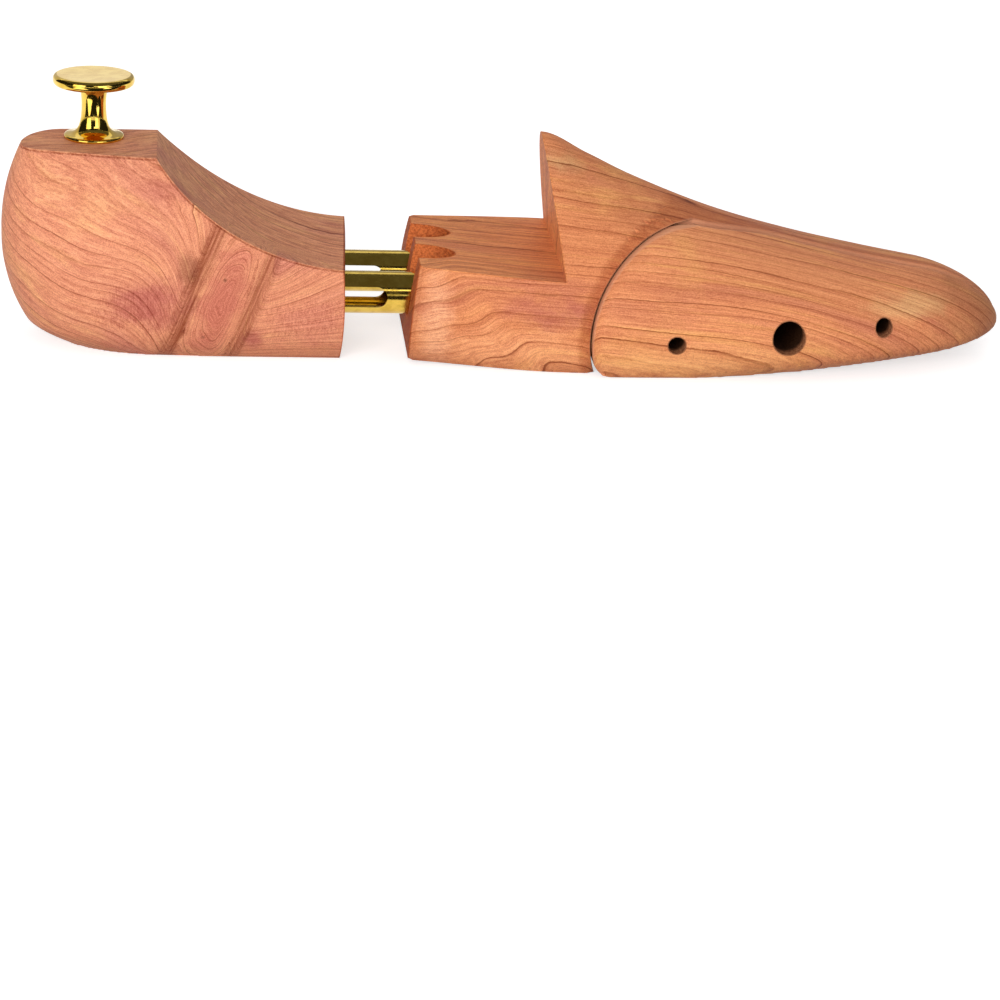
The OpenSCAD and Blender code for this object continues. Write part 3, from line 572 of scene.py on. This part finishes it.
def wood_attributes(kinds, points, across, along):
    # Near the seam's walls the depth below the side counts four times over, so that the painted shade of deep
    # places makes the seam a dark line
    flank = nearness(kinds, "flank") * np.where(nearness(kinds, "wall") > -0.5, 4, 1)
    planed, seam = nearness(kinds, "planed", "hollow"), nearness(kinds, "split", "wall")
    return {
        "grain": np.stack([along, across, points[:, 1] * 0.3], 1),
        "faces": np.stack([planed, seam, nearness(kinds, "bored")], 1),
        "edges": np.stack([nearness(kinds, "bevel"), np.maximum(flank, -8), nearness(kinds, "sawn")], 1),
    }


# Each wooden block: the corners of the box that holds it, its form, its grain and its slot
BLOCKS = {
    "forepart": ((X_FORE - FORE_FACE_OUT - 0.3, -40, 0), (X_FORE + FORE_LEN, 40, 64.2),
                 forepart_clauses, grain_forepart, "cedar_forepart"),
    "toe_wing": ((X_FORE + SEAM_X - SEAM_R, -43.5, 0), (X_FORE + FORE_LEN, -7.5, 42),
                 wing_clauses, grain_wing, "cedar_wing"),
    "heel_block": ((X_BACK - 0.2, -29.6, 0), (X_HEEL + 3, 29.6, HEEL_H),
                   heel_clauses, grain_heel, "cedar_heel"),
}
CELL = 0.8
BODIES = frame["record"]["behaviour"]["bodies"]
blocks = {}
for node, (lo, hi, clauses, grain, slot) in BLOCKS.items():
    points, quads, kinds = surface_net(lo, hi, CELL, clauses())
    attributes = wood_attributes(kinds, points, *grain(points.T))
    if node == "heel_block":
        attributes["swirl"] = np.stack(swirl_place(points.T), 1)
    box_lo, box_hi = (np.array(corner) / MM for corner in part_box(node))
    points = np.clip(points + np.array([0, Y_MID, 0]), box_lo, box_hi)
    blocks[node] = add_piece(node + "_wood", points, quads, attributes)
    blocks[node].data.set_sharp_from_angle(angle=math.radians(32))
    stand_for(blocks[node], node, next(body for body, nodes in BODIES.items() if node in nodes), slot)


def ring_faces(rings, sides):
    """Quads between rings of points, and a cap on each end."""
    faces = []
    for first in range(0, (rings - 1) * sides, sides):
        for j in range(sides):
            a, b = first + j, first + (j + 1) % sides
            faces.append((a, b, b + sides, a + sides))
    cap = range(sides)
    return faces + [tuple(cap)[::-1], tuple((rings - 1) * sides + j for j in cap)]


def coil(name, start, axis, length, outer, wire, curls):
    """Spring of round wire, which starts at a point and runs towards +X (axis 0) or -Y (axis 1)."""
    sides, rings = 12, 28
    r = (outer - wire) / 2
    pitch = (length - wire) / curls
    t = np.linspace(0, curls, curls * rings + 1)
    a = 2 * math.pi * t
    rise = math.atan2(pitch, 2 * math.pi * r)
    centre = np.stack([r * np.cos(a), r * np.sin(a), wire / 2 + pitch * t], 1)
    out = np.stack([np.cos(a), np.sin(a), 0 * a], 1)
    s, c = math.sin(rise), math.cos(rise)
    up = np.stack([np.sin(a) * s, -np.cos(a) * s, np.full_like(a, c)], 1)
    k = (2 * math.pi * np.arange(sides) / sides)[None, :, None]
    outline = wire / 2 * (np.cos(k) * out[:, None] + np.sin(k) * up[:, None])
    x, y, z = (centre[:, None] + outline).reshape(-1, 3).T
    points = np.stack([z, y, -x] if axis == 0 else [x, -z, y], 1)
    return add_piece(name, points + np.array(start), ring_faces(len(t), sides), {})


springs = []
for side, name in ((-1, "near"), (1, "far")):
    start = (X_HEEL - TUBE_IN_HEEL - HEEL_SPRING_LEN - SEAT_GAP, side * TUBE_Y + Y_MID, TUBE_Z)
    spring = coil("heel_coil_" + name, start, 0, HEEL_SPRING_LEN, HEEL_SPRING_D, HEEL_WIRE, HEEL_CURLS)
    stand_for(spring, "heel_spring_" + name, "heel_body", "spring_steel")
    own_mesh(spring)
    springs.append(spring)
for guide, name in zip(GUIDES, ("rear", "front")):
    floor, wing_floor, _ = guide_levels(guide)
    start = (X_FORE + guide[0], floor - SEAT_GAP + Y_MID, guide[1])
    length = floor - wing_floor - 2 * SEAT_GAP
    spring = coil("toe_coil_" + name, start, 1, length, TOE_SPRING_D, TOE_WIRE, TOE_CURLS)
    stand_for(spring, "toe_spring_" + name, "forepart_body", "spring_steel")
    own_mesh(spring)
    springs.append(spring)


# The knob, turned: radius and height above the flat top. The disc has a tall, softly rounded rim, and a small
# cove runs round the stem below it
KNOB_R, RIM_R, RIM_FLAT, RIM_TALL, KNOB_H, KNOB_TURNS = 11.9, 1.55, 0.75, 0.9, 18.8, 128
FOOT = ((0.05, 0.02), (8.6, 0.02), (8.75, 0.2), (8.72, 0.75), (8.5, 1.08), (8.0, 1.22), (7.1, 1.38),
        (6.2, 1.66))
STEM = ((5.4, 2.15), (4.8, 2.85), (4.35, 3.75), (4.0, 5.0), (3.74, 6.6), (3.62, 8.4), (3.6, 10.2),
        (3.66, 11.8), (3.8, 13.0), (4.0, 13.9), (4.16, 14.35))
COVE = ((4.1, 14.55), (3.6, 14.68), (3.42, 14.95), (3.6, 15.3), (4.5, 15.55), (6.2, 15.68), (8.5, 15.7))
TOP = ((9.2, 18.79), (8.0, 18.76), (6.0, 18.73), (3.0, 18.71), (0.05, 18.70))


def turned_knob():
    rim = [(KNOB_R - RIM_R + RIM_R * abs(math.cos(a)) ** RIM_FLAT,
            KNOB_H - RIM_R + RIM_R * math.copysign(abs(math.sin(a)) ** RIM_TALL, a))
           for a in np.linspace(-math.pi / 2, math.pi / 2, 25)]
    r, z = np.array(FOOT + STEM + COVE + tuple(rim) + TOP).T[:, :, None]
    a = 2 * math.pi * np.arange(KNOB_TURNS) / KNOB_TURNS
    box_lo, box_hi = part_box("knob")
    x, y, foot_z = (box_lo.x + box_hi.x) / 2 / MM, (box_lo.y + box_hi.y) / 2 / MM, box_lo.z / MM
    points = np.stack([x + r * np.cos(a), y + r * np.sin(a), foot_z + z + 0 * a], -1)
    return add_piece("knob_turned", points.reshape(-1, 3), ring_faces(len(r), KNOB_TURNS), {})


knob = turned_knob()
knob.data.set_sharp_from_angle(angle=math.radians(50))
stand_for(knob, "knob", "heel_body", "knob_brass")


# Materials
class Nodes:
    """Small helper that adds shader nodes to a material and links them."""

    def __init__(self, name):
        self.material = bpy.data.materials.new(name)
        self.material.use_nodes = True
        self.tree = self.material.node_tree
        self.tree.nodes.clear()
        self.out = self.tree.nodes.new("ShaderNodeOutputMaterial")

    def feed(self, socket, value):
        if isinstance(value, bpy.types.NodeSocket):
            self.tree.links.new(value, socket)
        else:
            socket.default_value = value

    def add(self, kind, inputs=None, output=0, **settings):
        node = self.tree.nodes.new("ShaderNode" + kind)
        for key, value in settings.items():
            setattr(node, key, value)
        for key, value in (inputs or {}).items():
            self.feed(node.inputs[key], value)
        return node.outputs[output]

    def finish(self, shader):
        self.tree.links.new(shader, self.out.inputs[0])
        return self.material

    def math(self, operation, a, b=0.0, c=0.0):
        return self.add("Math", {0: a, 1: b, 2: c}, operation=operation)

    def times(self, a, b):
        return self.math("MULTIPLY", a, b)

    def times_plus(self, a, b, c):
        return self.math("MULTIPLY_ADD", a, b, c)

    def vector(self, operation, a, b=(0, 0, 0), output=0):
        return self.add("VectorMath", {0: a, 1: b}, operation=operation, output=output)

    def stretch(self, vector, x, y, z):
        return self.vector("MULTIPLY", vector, (x, y, z))

    def mix(self, factor, a, b, blend="MIX"):
        node = self.tree.nodes.new("ShaderNodeMix")
        node.data_type = "RGBA"
        node.blend_type = blend
        for key, value in ((0, factor), (6, a), (7, b)):
            self.feed(node.inputs[key], (*value, 1.0) if isinstance(value, tuple) else value)
        return node.outputs[2]

    def stain(self, factor, colour, tint):
        """Multiply a colour by a tint, as far as the factor says."""
        return self.mix(factor, colour, self.mix(1.0, colour, tint, "MULTIPLY"))

    def noise(self, vector, scale, detail=2.0, rough=0.5):
        return self.add("TexNoise", {"Vector": vector, "Scale": scale, "Detail": detail, "Roughness": rough})

    def smooth(self, value, low, high, to_low=0.0, to_high=1.0):
        return self.add("MapRange", {0: value, 1: low, 2: high, 3: to_low, 4: to_high},
                        interpolation_type="SMOOTHSTEP", clamp=True)

    def place(self):
        """Place in the piece's own space, in mm."""
        scaled = self.vector("SCALE", self.add("TexCoord", output=3))
        scaled.node.inputs["Scale"].default_value = 1 / MM
        return scaled

    def parts(self, name):
        """The three numbers that each point of the mesh holds under a name."""
        vector = self.add("Attribute", attribute_name=name, output=1)
        return self.add("SeparateXYZ", {0: vector}).node.outputs

    def distance(self, place, centre, radius, lean=0.0):
        """0 in the middle of an ellipsoid, 1 on its surface. Lean turns it about Y."""
        away = self.vector("SUBTRACT", place, centre)
        away = self.add("VectorRotate", {"Vector": away, "Angle": -lean}, rotation_type="Y_AXIS")
        return self.vector("LENGTH", self.stretch(away, *(1 / r for r in radius)), output=1)


def srgb(r, g, b):
    return tuple(c / 255 / 12.92 if c <= 10 else ((c / 255 + 0.055) / 1.055) ** 2.4 for c in (r, g, b))


def growth_rings(t, grain, spacing):
    """Rings of uneven width: the dark line that ends each one, and the dusk before it."""
    across = t.add("SeparateXYZ", {0: grain}, output=1)
    wave = t.noise(t.stretch(grain, 0.016, 0.07, 0.07), 1.0, 2.0, 0.5)
    slow = t.noise(t.stretch(grain, 0.004, 0.10, 0.02), 1.0, 1.0)
    fine = t.noise(t.stretch(grain, 0.25, 0.6, 0.6), 1.0, 3.0, 0.6)
    ring = t.times_plus(across, 1.0 / spacing, 5.0)
    for noise, share in ((wave, 1.3), (slow, 3.0), (fine, 0.16)):
        ring = t.times_plus(noise, share, ring)
    part = t.math("FRACT", ring)
    chance = t.add("TexWhiteNoise", {"W": t.math("FLOOR", ring)}, noise_dimensions="1D")
    line = t.times(t.smooth(part, 0.89, 0.965), t.smooth(part, 1.0, 0.975))
    line = t.times(line, t.smooth(chance, 0.2, 1.0, 0.08, 1.0))
    fade = t.noise(t.stretch(grain, 0.03, 0.5, 0.2), 1.0, 2.0, 0.6)
    line = t.times(line, t.smooth(fade, 0.34, 0.60, 0.30, 1.0))
    dusk = t.times(t.math("POWER", part, 4.0), t.times_plus(chance, 0.45, 0.15))
    return line, dusk


def drifting_colour(t, grain, place, salmon, cream, rose):
    """Colours that drift over the block, mostly along the fibres."""
    drift = t.noise(t.stretch(grain, 0.012, 0.05, 0.05), 1.0, 3.0, 0.55)
    streak = t.noise(t.stretch(grain, 0.016, 0.28, 0.3), 1.0, 3.0, 0.6)
    blotch = t.noise(t.stretch(place, 0.035, 0.03, 0.05), 1.0, 3.0, 0.55)
    colour = t.mix(t.smooth(streak, 0.50, 0.74, 0.0, 0.80), salmon, cream)
    colour = t.mix(t.smooth(drift, 0.47, 0.68, 0.0, 0.85), colour, rose)
    return t.mix(t.smooth(blotch, 0.54, 0.74, 0.0, 0.6), colour, cream)


def swirl_bands(t, place, bands):
    """Dark, closely lined bands beside the swirl, each with its middle, half width and strength."""
    u, v, near = t.parts("swirl")
    lined = t.add("CombineXYZ", {0: t.times(u, 1.5), 1: t.times(v, 0.045)})
    wander = t.noise(t.stretch(place, 0.0, 0.0, 0.16), 1.0, 3.0, 0.6)
    wander = t.times_plus(wander, 5.0, -2.5)
    total = 0.0
    for middle, half, strength in bands:
        d = t.math("ABSOLUTE", t.math("ADD", t.math("SUBTRACT", u, middle), wander))
        total = t.math("MAXIMUM", total, t.smooth(d, half, 0.3 * half, 0.0, strength))
    stripes = t.smooth(t.noise(lined, 1.0, 3.0, 0.6), 0.34, 0.66, 0.35, 1.0)
    return t.times(t.times(total, near), stripes)


def fibres(t, grain, place, planed, ragged, ripples):
    """Fibres, pores and sanding marks: the fibres, the surface's height and its shade."""
    fibre = t.noise(t.stretch(grain, 0.07, 2.2, 3.0), 1.0, 3.0, 0.65)
    pore = t.noise(t.stretch(grain, 0.45, 3.2, 3.2), 1.0, 2.0, 0.7)
    grit = t.noise(place, 3.3, 2.0, 0.7)
    shade = t.math("ADD", t.smooth(fibre, 0.30, 0.70, 0.87, 1.10), t.smooth(grit, 0.3, 0.7, -0.20, 0.20))
    shade = t.math("ADD", shade, t.smooth(pore, 0.28, 0.72, -0.12, 0.085))
    # Planed faces show fine lines along the block, and some places the ripples of a rough cut
    lines = t.smooth(t.noise(t.stretch(grain, 0.012, 1.1, 1.1), 1.0, 3.0, 0.7), 0.38, 0.62, -0.20, 0.15)
    shade = t.times_plus(lines, t.smooth(planed, 0.0, 1.0, 0.55, 1.0), shade)
    ripple = t.smooth(t.noise(t.stretch(place, 2.0, 0.5, 0.45), 1.0, 3.0, 0.65), 0.36, 0.64, -0.5, 0.5)
    for centre, radius, strength in ripples:
        d = t.times_plus(ragged, 1.5, t.distance(place, centre, radius))
        shade = t.times_plus(ripple, t.smooth(d, 1.1, 0.4, 0.0, strength), shade)
    height = t.times_plus(fibre, 0.5, t.times(grit, 0.25))
    return fibre, t.times_plus(pore, 0.35, height), shade


def wood(name, spacing, salmon, cream, rose, planed_tone_and_light, bores, chipped,
         patches=(), ripples=(), knots=(), swirl=()):
    """Cedar with rings this far apart. Chipped wood has torn edges round its planed faces and bores."""
    t = Nodes(name)
    grain = t.add("Attribute", attribute_name="grain", output=1)
    place = t.place()
    to_planed, to_seam, to_bore = t.parts("faces")
    to_bevel, shade_depth, to_sawn = t.parts("edges")
    planed, split, bored, sawn = (t.smooth(d, -0.45, -0.10) for d in (to_planed, to_seam, to_bore, to_sawn))
    unplaned = t.math("SUBTRACT", 1.0, planed)
    ragged = t.math("SUBTRACT", t.noise(t.stretch(place, 0.10, 0.1, 0.16), 1.0, 4.0, 0.65), 0.5)
    line, dusk = growth_rings(t, grain, spacing)
    colour = drifting_colour(t, grain, place, salmon, cream, rose)
    for centre, radius, strength, tint, *lean in patches:
        d = t.times_plus(ragged, 1.5, t.distance(place, centre, radius, *lean))
        colour = t.mix(t.smooth(d, 1.15, 0.25, 0.0, strength), colour, tint)
    colour = t.stain(dusk, colour, srgb(205, 172, 152))
    colour = t.stain(t.times(line, 0.85), colour, srgb(140, 94, 74))
    if swirl:
        bands = t.times(swirl_bands(t, place, swirl), unplaned)
        colour = t.stain(bands, colour, srgb(158, 112, 90))
    fibre, height, shade = fibres(t, grain, place, planed, ragged, ripples)
    warm = t.math("POWER", shade, 1.25)
    light = t.add("CombineColor", {0: t.math("POWER", shade, 0.75), 1: warm, 2: warm})
    colour = t.mix(1.0, colour, light, "MULTIPLY")
    for centre, radius in knots:
        d = t.times_plus(ragged, 0.8, t.distance(place, centre, radius))
        colour = t.mix(t.smooth(d, 1.0, 0.2, 0.0, 0.7), colour, srgb(88, 44, 32))

    # Planed and sawn faces are browner, and the cut and the bores show fresh or stained wood. The planed tint
    # is partly painted light, which sets how bright the top faces look
    colour = t.stain(t.times(planed, 0.95), colour, planed_tone_and_light)
    colour = t.stain(sawn, colour, srgb(212, 176, 150))
    colour = t.mix(t.times(split, 0.6), colour, srgb(222, 160, 126))
    torn = t.noise(t.stretch(place, 1.3, 0.9, 1.3), 1.0, 4.0, 0.75)
    colour = t.mix(t.times(bored, 0.92), colour, t.mix(t.smooth(torn, 0.30, 0.66), *bores))
    if chipped:
        chips = t.times(t.smooth(to_planed, -1.3, -0.3), t.smooth(torn, 0.55, 0.65, 0.0, 0.55))
        rim = t.times(t.smooth(to_bore, -1.1, -0.2), t.smooth(torn, 0.48, 0.60, 0.0, 0.8))
        colour = t.mix(t.math("MAXIMUM", t.times(chips, unplaned), rim), colour, bores[1])
        # Here only the cut gets painted shade
        shaded_recess = split
    else:
        # A thin dark line where the planed faces meet the side
        dark_edge_line = t.times(t.smooth(to_planed, -0.95, -0.5), unplaned)
        dark_edge_line = t.times(dark_edge_line, t.smooth(torn, 0.35, 0.6, 0.3, 0.9))
        colour = t.stain(dark_edge_line, colour, srgb(168, 120, 96))
        # Here the cut and the bores get painted shade
        shaded_recess = t.math("MAXIMUM", split, bored)
    # Painted shade: deep in the cut, and in the wing's and the heel's bores, the wood is darkened the further
    # it lies below the side, and a band of painted shade follows the bevel
    recess_shade = t.smooth(shade_depth, -5.5, -2.0, 0.12, 1.0)
    colour = t.stain(shaded_recess, colour, t.add("CombineColor", {0: recess_shade, 1: recess_shade, 2: recess_shade}))
    # A band of painted shade on the bevel, whose face tilts away from the light
    bevel_shade = t.times_plus(t.math("SUBTRACT", torn, 0.5), 0.5, to_bevel)
    colour = t.stain(t.smooth(bevel_shade, -0.7, 0.0, 0.0, 0.5), colour, srgb(200, 166, 142))

    rough_cut = t.math("MAXIMUM", bored, t.times(t.math("MAXIMUM", sawn, split), 0.4))
    height = t.times_plus(line, -0.3, height)
    height = t.times_plus(t.times(torn, rough_cut), 3.0, height)
    normal = t.add("Bump", {"Height": height, "Strength": 0.5, "Distance": 0.12 * MM})
    rough = t.times_plus(rough_cut, 0.25, t.smooth(fibre, 0.3, 0.7, 0.52, 0.66))
    return t.finish(t.add("BsdfPrincipled", {"Base Color": colour, "Roughness": rough, "Normal": normal,
                                             "Specular IOR Level": 0.14}))


def brass(name, light, dark, rough):
    """Polished brass with cloudy tarnish, fine dark specks and a slight waviness."""
    t = Nodes(name)
    place = t.place()
    cloud = t.noise(place, 0.25, 3.0, 0.6)
    specks = t.noise(place, 2.6, 3.0, 0.7)
    colour = t.mix(t.smooth(cloud, 0.35, 0.65), light, dark)
    colour = t.mix(t.smooth(specks, 0.66, 0.78, 0.0, 0.5), colour, tuple(0.45 * c for c in dark))
    polish = t.smooth(cloud, 0.3, 0.7, rough * 0.8, rough * 1.3)
    roughness = t.math("ADD", polish, t.smooth(specks, 0.6, 0.8, 0.0, 0.12))
    normal = t.add("Bump", {"Height": t.noise(place, 0.5, 2.0, 0.5), "Strength": 0.12, "Distance": 0.1 * MM})
    return t.finish(t.add("BsdfPrincipled", {"Base Color": colour, "Metallic": 1.0, "Roughness": roughness,
                                             "Normal": normal}))


def steel(name, light, rough):
    """Drawn steel wire, streaked along its length."""
    t = Nodes(name)
    drawn = t.noise(t.stretch(t.place(), 0.4, 0.4, 3.0), 1.0, 3.0, 0.6)
    colour = t.mix(t.smooth(drawn, 0.3, 0.7), light, tuple(0.7 * c for c in light))
    roughness = t.smooth(drawn, 0.3, 0.7, rough * 0.8, rough * 1.2)
    return t.finish(t.add("BsdfPrincipled", {"Base Color": colour, "Metallic": 1.0, "Roughness": roughness}))


SALMON = srgb(225, 143, 95)
CREAM = srgb(241, 172, 105)
ROSE = srgb(205, 123, 91)
PALE = srgb(236, 188, 130)
PURPLE = srgb(186, 100, 88)
UMBER = srgb(150, 88, 62)
TAN = srgb(190, 116, 80)
FRESH = (srgb(160, 70, 32), srgb(222, 122, 66))
BROWN = (srgb(104, 58, 38), srgb(176, 118, 82))

# Patches of colour, on the wing two of them with painted light: centre and radii in mm, strength, colour, and
# the lean of those that don't lie level
FOREPART_PATCHES = (
    ((4, -30, 7), (30, 12, 10), 0.8, srgb(250, 172, 122)),
    ((10, -30, 19), (18, 12, 6), 0.75, PURPLE),
    ((14, -27, 27), (26, 10, 3), 0.6, ROSE),
    ((24, -16, 58), (26, 12, 4), 0.75, PALE),
    ((52, -20, 46), (30, 14, 9), 0.45, srgb(190, 116, 78)),
    ((-23, -30, 12), (6, 14, 20), 0.8, srgb(246, 176, 134)),
)
WING_PATCHES_AND_LIGHT = (
    # Pale sapwood near the toe, partly a painted sheen
    ((119, -28, 20), (17, 14, 4.5), 0.6, PALE),
    ((60, -41, 36), (34, 12, 4), 0.6, TAN),
    ((38, -41, 20), (22, 10, 7), 0.35, ROSE),
    ((52, -38, 5), (32, 14, 8), 0.8, srgb(252, 180, 120)),
    # Painted shade on the toe's tip, which faces away from the key light
    ((148, -10, 16), (34, 34, 18), 0.7, srgb(186, 120, 80)),
)
HEEL_PATCHES = (
    ((-106, -28, 17), (16, 10, 9), 0.9, srgb(192, 106, 92)),
    ((-58, -28, 12), (13, 10, 9), 0.6, srgb(216, 132, 110)),
    ((-98, -20, 50), (14, 8, 4), 0.5, PURPLE),
    ((SWIRL_X, -28, SWIRL_Z), (7.5, 9, 22), 0.9, srgb(208, 120, 98), SWIRL_LEAN),
    ((-94, -28, 29), (4, 9, 6), 0.6, UMBER),
    ((-76, -28, 7), (4, 9, 5), 0.8, PURPLE),
)
# Ripples of a rough cut: centre, radii and strength. Knots: centre and radii
HEEL_RIPPLES = (((-108, -28, 16), (22, 12, 12), 0.28), ((-60, -28, 14), (15, 12, 10), 0.22))
HEEL_KNOTS = (((-83.8, -27.5, 25.2), (0.8, 3, 0.9)), ((-90, -27.5, 7.4), (1.0, 3, 0.9)),
              ((-103, -27, 2.2), (1.4, 3, 0.8)))
SWIRL_BANDS = ((-9.0, 3.6, 0.85), (8.8, 3.4, 0.75))

WOODS = {
    "forepart": wood("cedar_forepart", 4.8, SALMON, CREAM, ROSE, srgb(262, 262, 244), FRESH, True,
                     patches=FOREPART_PATCHES),
    "toe_wing": wood("cedar_wing", 4.3, srgb(231, 149, 101), CREAM, ROSE, srgb(238, 222, 194), BROWN, False,
                     patches=WING_PATCHES_AND_LIGHT),
    "heel_block": wood("cedar_heel", 2.9, srgb(232, 153, 117), srgb(241, 172, 122), srgb(214, 134, 111),
                       srgb(242, 246, 236), FRESH, False, patches=HEEL_PATCHES, ripples=HEEL_RIPPLES,
                       knots=HEEL_KNOTS, swirl=SWIRL_BANDS),
}
for node, block in blocks.items():
    block.data.materials.append(WOODS[node])

gold = brass("brass_knob", srgb(240, 205, 98), srgb(224, 184, 74), 0.08)
tube_gold = brass("brass_tube", srgb(230, 196, 92), srgb(210, 174, 72), 0.14)
wire = steel("steel_wire", srgb(186, 186, 188), 0.32)
knob.data.materials.append(gold)
for spring in springs:
    spring.data.materials.append(wire)
CAD_MATERIALS = {"tube_near": tube_gold, "tube_far": tube_gold, "fold_pin": wire, "heel_cross_pin": wire,
                 "knob_screw": wire, "toe_guide_rear": wire, "toe_guide_front": wire}
for node, material in CAD_MATERIALS.items():
    mesh = frame["nodes"][node].data
    mesh.materials.clear()
    mesh.materials.append(material)


# Floor, cards, world, lamps and camera. Places are in metres, apart from the camera's
def camera_share(tree):
    """1 for the rays that show the background: from the camera, off metal or through glass."""
    path = tree.nodes.new("ShaderNodeLightPath")
    share = path.outputs["Is Camera Ray"]
    for name in ("Is Glossy Ray", "Is Transmission Ray"):
        either = tree.nodes.new("ShaderNodeMath")
        either.operation = "MAXIMUM"
        tree.links.new(share, either.inputs[0])
        tree.links.new(path.outputs[name], either.inputs[1])
        share = either.outputs[0]
    return share


def facing(place, aim, axis):
    """Turn of something at a place so that its axis points to the aim."""
    return (Vector(aim) - Vector(place)).to_track_quat(axis, "Y").to_euler()


def sheet(name, size, place, material, turn=(0, 0, 0)):
    bpy.ops.mesh.primitive_plane_add(size=1, location=place)
    piece = bpy.context.object
    piece.name = name
    piece.scale = (*size, 1)
    piece.rotation_euler = turn
    piece.data.materials.append(material)
    return piece


# The floor is white to the eye, and lights the wood from below no more than a grey one would
def white_floor():
    t = Nodes("white_floor")
    paper = t.add("BsdfDiffuse", {"Color": (0.8, 0.8, 0.8, 1.0)})
    glow = t.add("Emission", {"Color": (1.0, 1.0, 1.0, 1.0), "Strength": 0.62})
    bounce = t.add("BsdfDiffuse", {"Color": (0.36, 0.36, 0.36, 1.0)})
    seen = t.add("AddShader", {0: paper, 1: glow})
    return t.finish(t.add("MixShader", {0: camera_share(t.tree), 1: bounce, 2: seen}))


sheet("floor", (8, 8), (0, 0, -0.2 * MM), white_floor())


# Cards, seen only in the metal, as in a studio: dark ones round the camera and on the floor, a dim one
# above, pale ones behind, and bright windows in front and on the floor
def card_material(name, strength):
    t = Nodes(name)
    return t.finish(t.add("Emission", {"Color": (1.0, 0.97, 0.92, 1.0), "Strength": strength}))


DARK, DIM, GREY, SOFT, BRIGHT = (card_material(*card) for card in (
    ("dark_card", 0.02), ("dim_card", 0.11), ("grey_card", 0.40), ("pale_card", 0.62), ("bright_card", 2.4)))
CARD_AIM = (0, 0, 0.04)
# Cards that face the tree: name, size, place and material
STANDING_CARDS = (
    ("card_above", (2.6, 2.3), (0.0, -0.05, 1.25), DIM),
    ("card_front", (2.4, 1.75), (0.0, -1.75, 0.98), DARK),
    ("card_left", (2.6, 1.3), (-1.5, 0.0, 0.60), DARK),
    ("card_right", (2.6, 1.3), (1.5, 0.0, 0.60), DARK),
    ("card_back_left", (1.6, 0.9), (-0.95, 1.4, 0.62), SOFT),
    ("card_back_right", (1.6, 0.9), (0.65, 1.4, 0.62), GREY),
    ("window_left", (0.85, 0.8), (-0.97, -1.0, 0.42), BRIGHT),
    ("window_right", (0.6, 0.8), (0.52, -1.3, 0.42), BRIGHT),
    ("window_front", (0.26, 0.15), (0.05, -1.2, 0.66), BRIGHT),
)
# Cards that lie on the floor: name, size, place, material and turn in degrees
LYING_CARDS = (
    ("card_floor", (2.4, 1.3), (0.0, -0.70, 0.4 * MM), DARK, 0),
    ("foot_left", (0.14, 0.62), (-0.41, -0.35, 0.8 * MM), BRIGHT, -40),
    ("foot_right", (0.12, 0.60), (0.229, -0.433, 0.8 * MM), BRIGHT, 38),
)


def add_card(name, size, place, material, turn):
    card = sheet(name, size, place, material, turn)
    for ray in ("camera", "diffuse", "shadow", "transmission"):
        setattr(card, "visible_" + ray, False)


for name, size, place, material in STANDING_CARDS:
    add_card(name, size, place, material, facing(place, CARD_AIM, "Z"))
for name, size, place, material, turn in LYING_CARDS:
    add_card(name, size, place, material, (0, 0, math.radians(turn)))


def add_world(seen, light):
    """World of one strength to the eye and another for lighting."""
    world = bpy.data.worlds.new("studio")
    bpy.context.scene.world = world
    world.use_nodes = True
    tree = world.node_tree
    tree.nodes.clear()
    choose = tree.nodes.new("ShaderNodeMixShader")
    tree.links.new(camera_share(tree), choose.inputs[0])
    for socket, strength in ((1, light), (2, seen)):
        background = tree.nodes.new("ShaderNodeBackground")
        background.inputs[0].default_value = (1, 1, 1, 1)
        background.inputs[1].default_value = strength
        tree.links.new(background.outputs[0], choose.inputs[socket])
    output = tree.nodes.new("ShaderNodeOutputWorld")
    tree.links.new(choose.outputs[0], output.inputs[0])


def softbox(name, place, aim, size, power):
    light = bpy.data.lights.new(name, "AREA")
    light.shape = "RECTANGLE"
    light.size, light.size_y = size
    light.energy = power
    lamp = bpy.data.objects.new(name, light)
    bpy.context.scene.collection.objects.link(lamp)
    lamp.location = place
    lamp.visible_glossy = False
    lamp.rotation_euler = facing(place, aim, "-Z")


add_world(seen=1.0, light=0.42)
softbox("key", (-0.55, -1.35, 0.44), (0.02, 0, 0.03), (0.9, 0.6), 18)
softbox("fill", (0.80, -1.15, 0.36), (0, 0, 0.03), (0.5, 0.5), 1.5)
softbox("back", (0.2, 1.1, 0.8), (0, 0, 0.03), (1.0, 0.5), 3)

# Camera: azimuth, elevation and roll in degrees, place in mm, focal length in pixels of a 1000-pixel frame
AZIMUTH, ELEVATION, ROLL = -5.849, 20.511, 2.537
CAMERA_PLACE, FOCAL, FRAME_WIDTH = (-94.29, -929.84, 297.94), 3268.5, 1000


def add_camera():
    az, el, roll = map(math.radians, (AZIMUTH, ELEVATION, ROLL))
    back = Vector((math.sin(az) * math.cos(el), -math.cos(az) * math.cos(el), math.sin(el)))
    right = Vector((math.cos(az), math.sin(az), 0))
    up = back.cross(right)
    right, up = right * math.cos(roll) + up * math.sin(roll), up * math.cos(roll) - right * math.sin(roll)
    data = bpy.data.cameras.new("camera")
    data.sensor_width = 36.0
    data.lens = FOCAL / FRAME_WIDTH * data.sensor_width
    camera = bpy.data.objects.new("camera", data)
    bpy.context.scene.collection.objects.link(camera)
    turn = Matrix((right, up, back)).transposed().to_4x4()
    camera.matrix_world = Matrix.Translation(Vector(CAMERA_PLACE) * MM) @ turn
    bpy.context.scene.camera = camera


add_camera()
bpy.context.scene.view_settings.view_transform = "Standard"
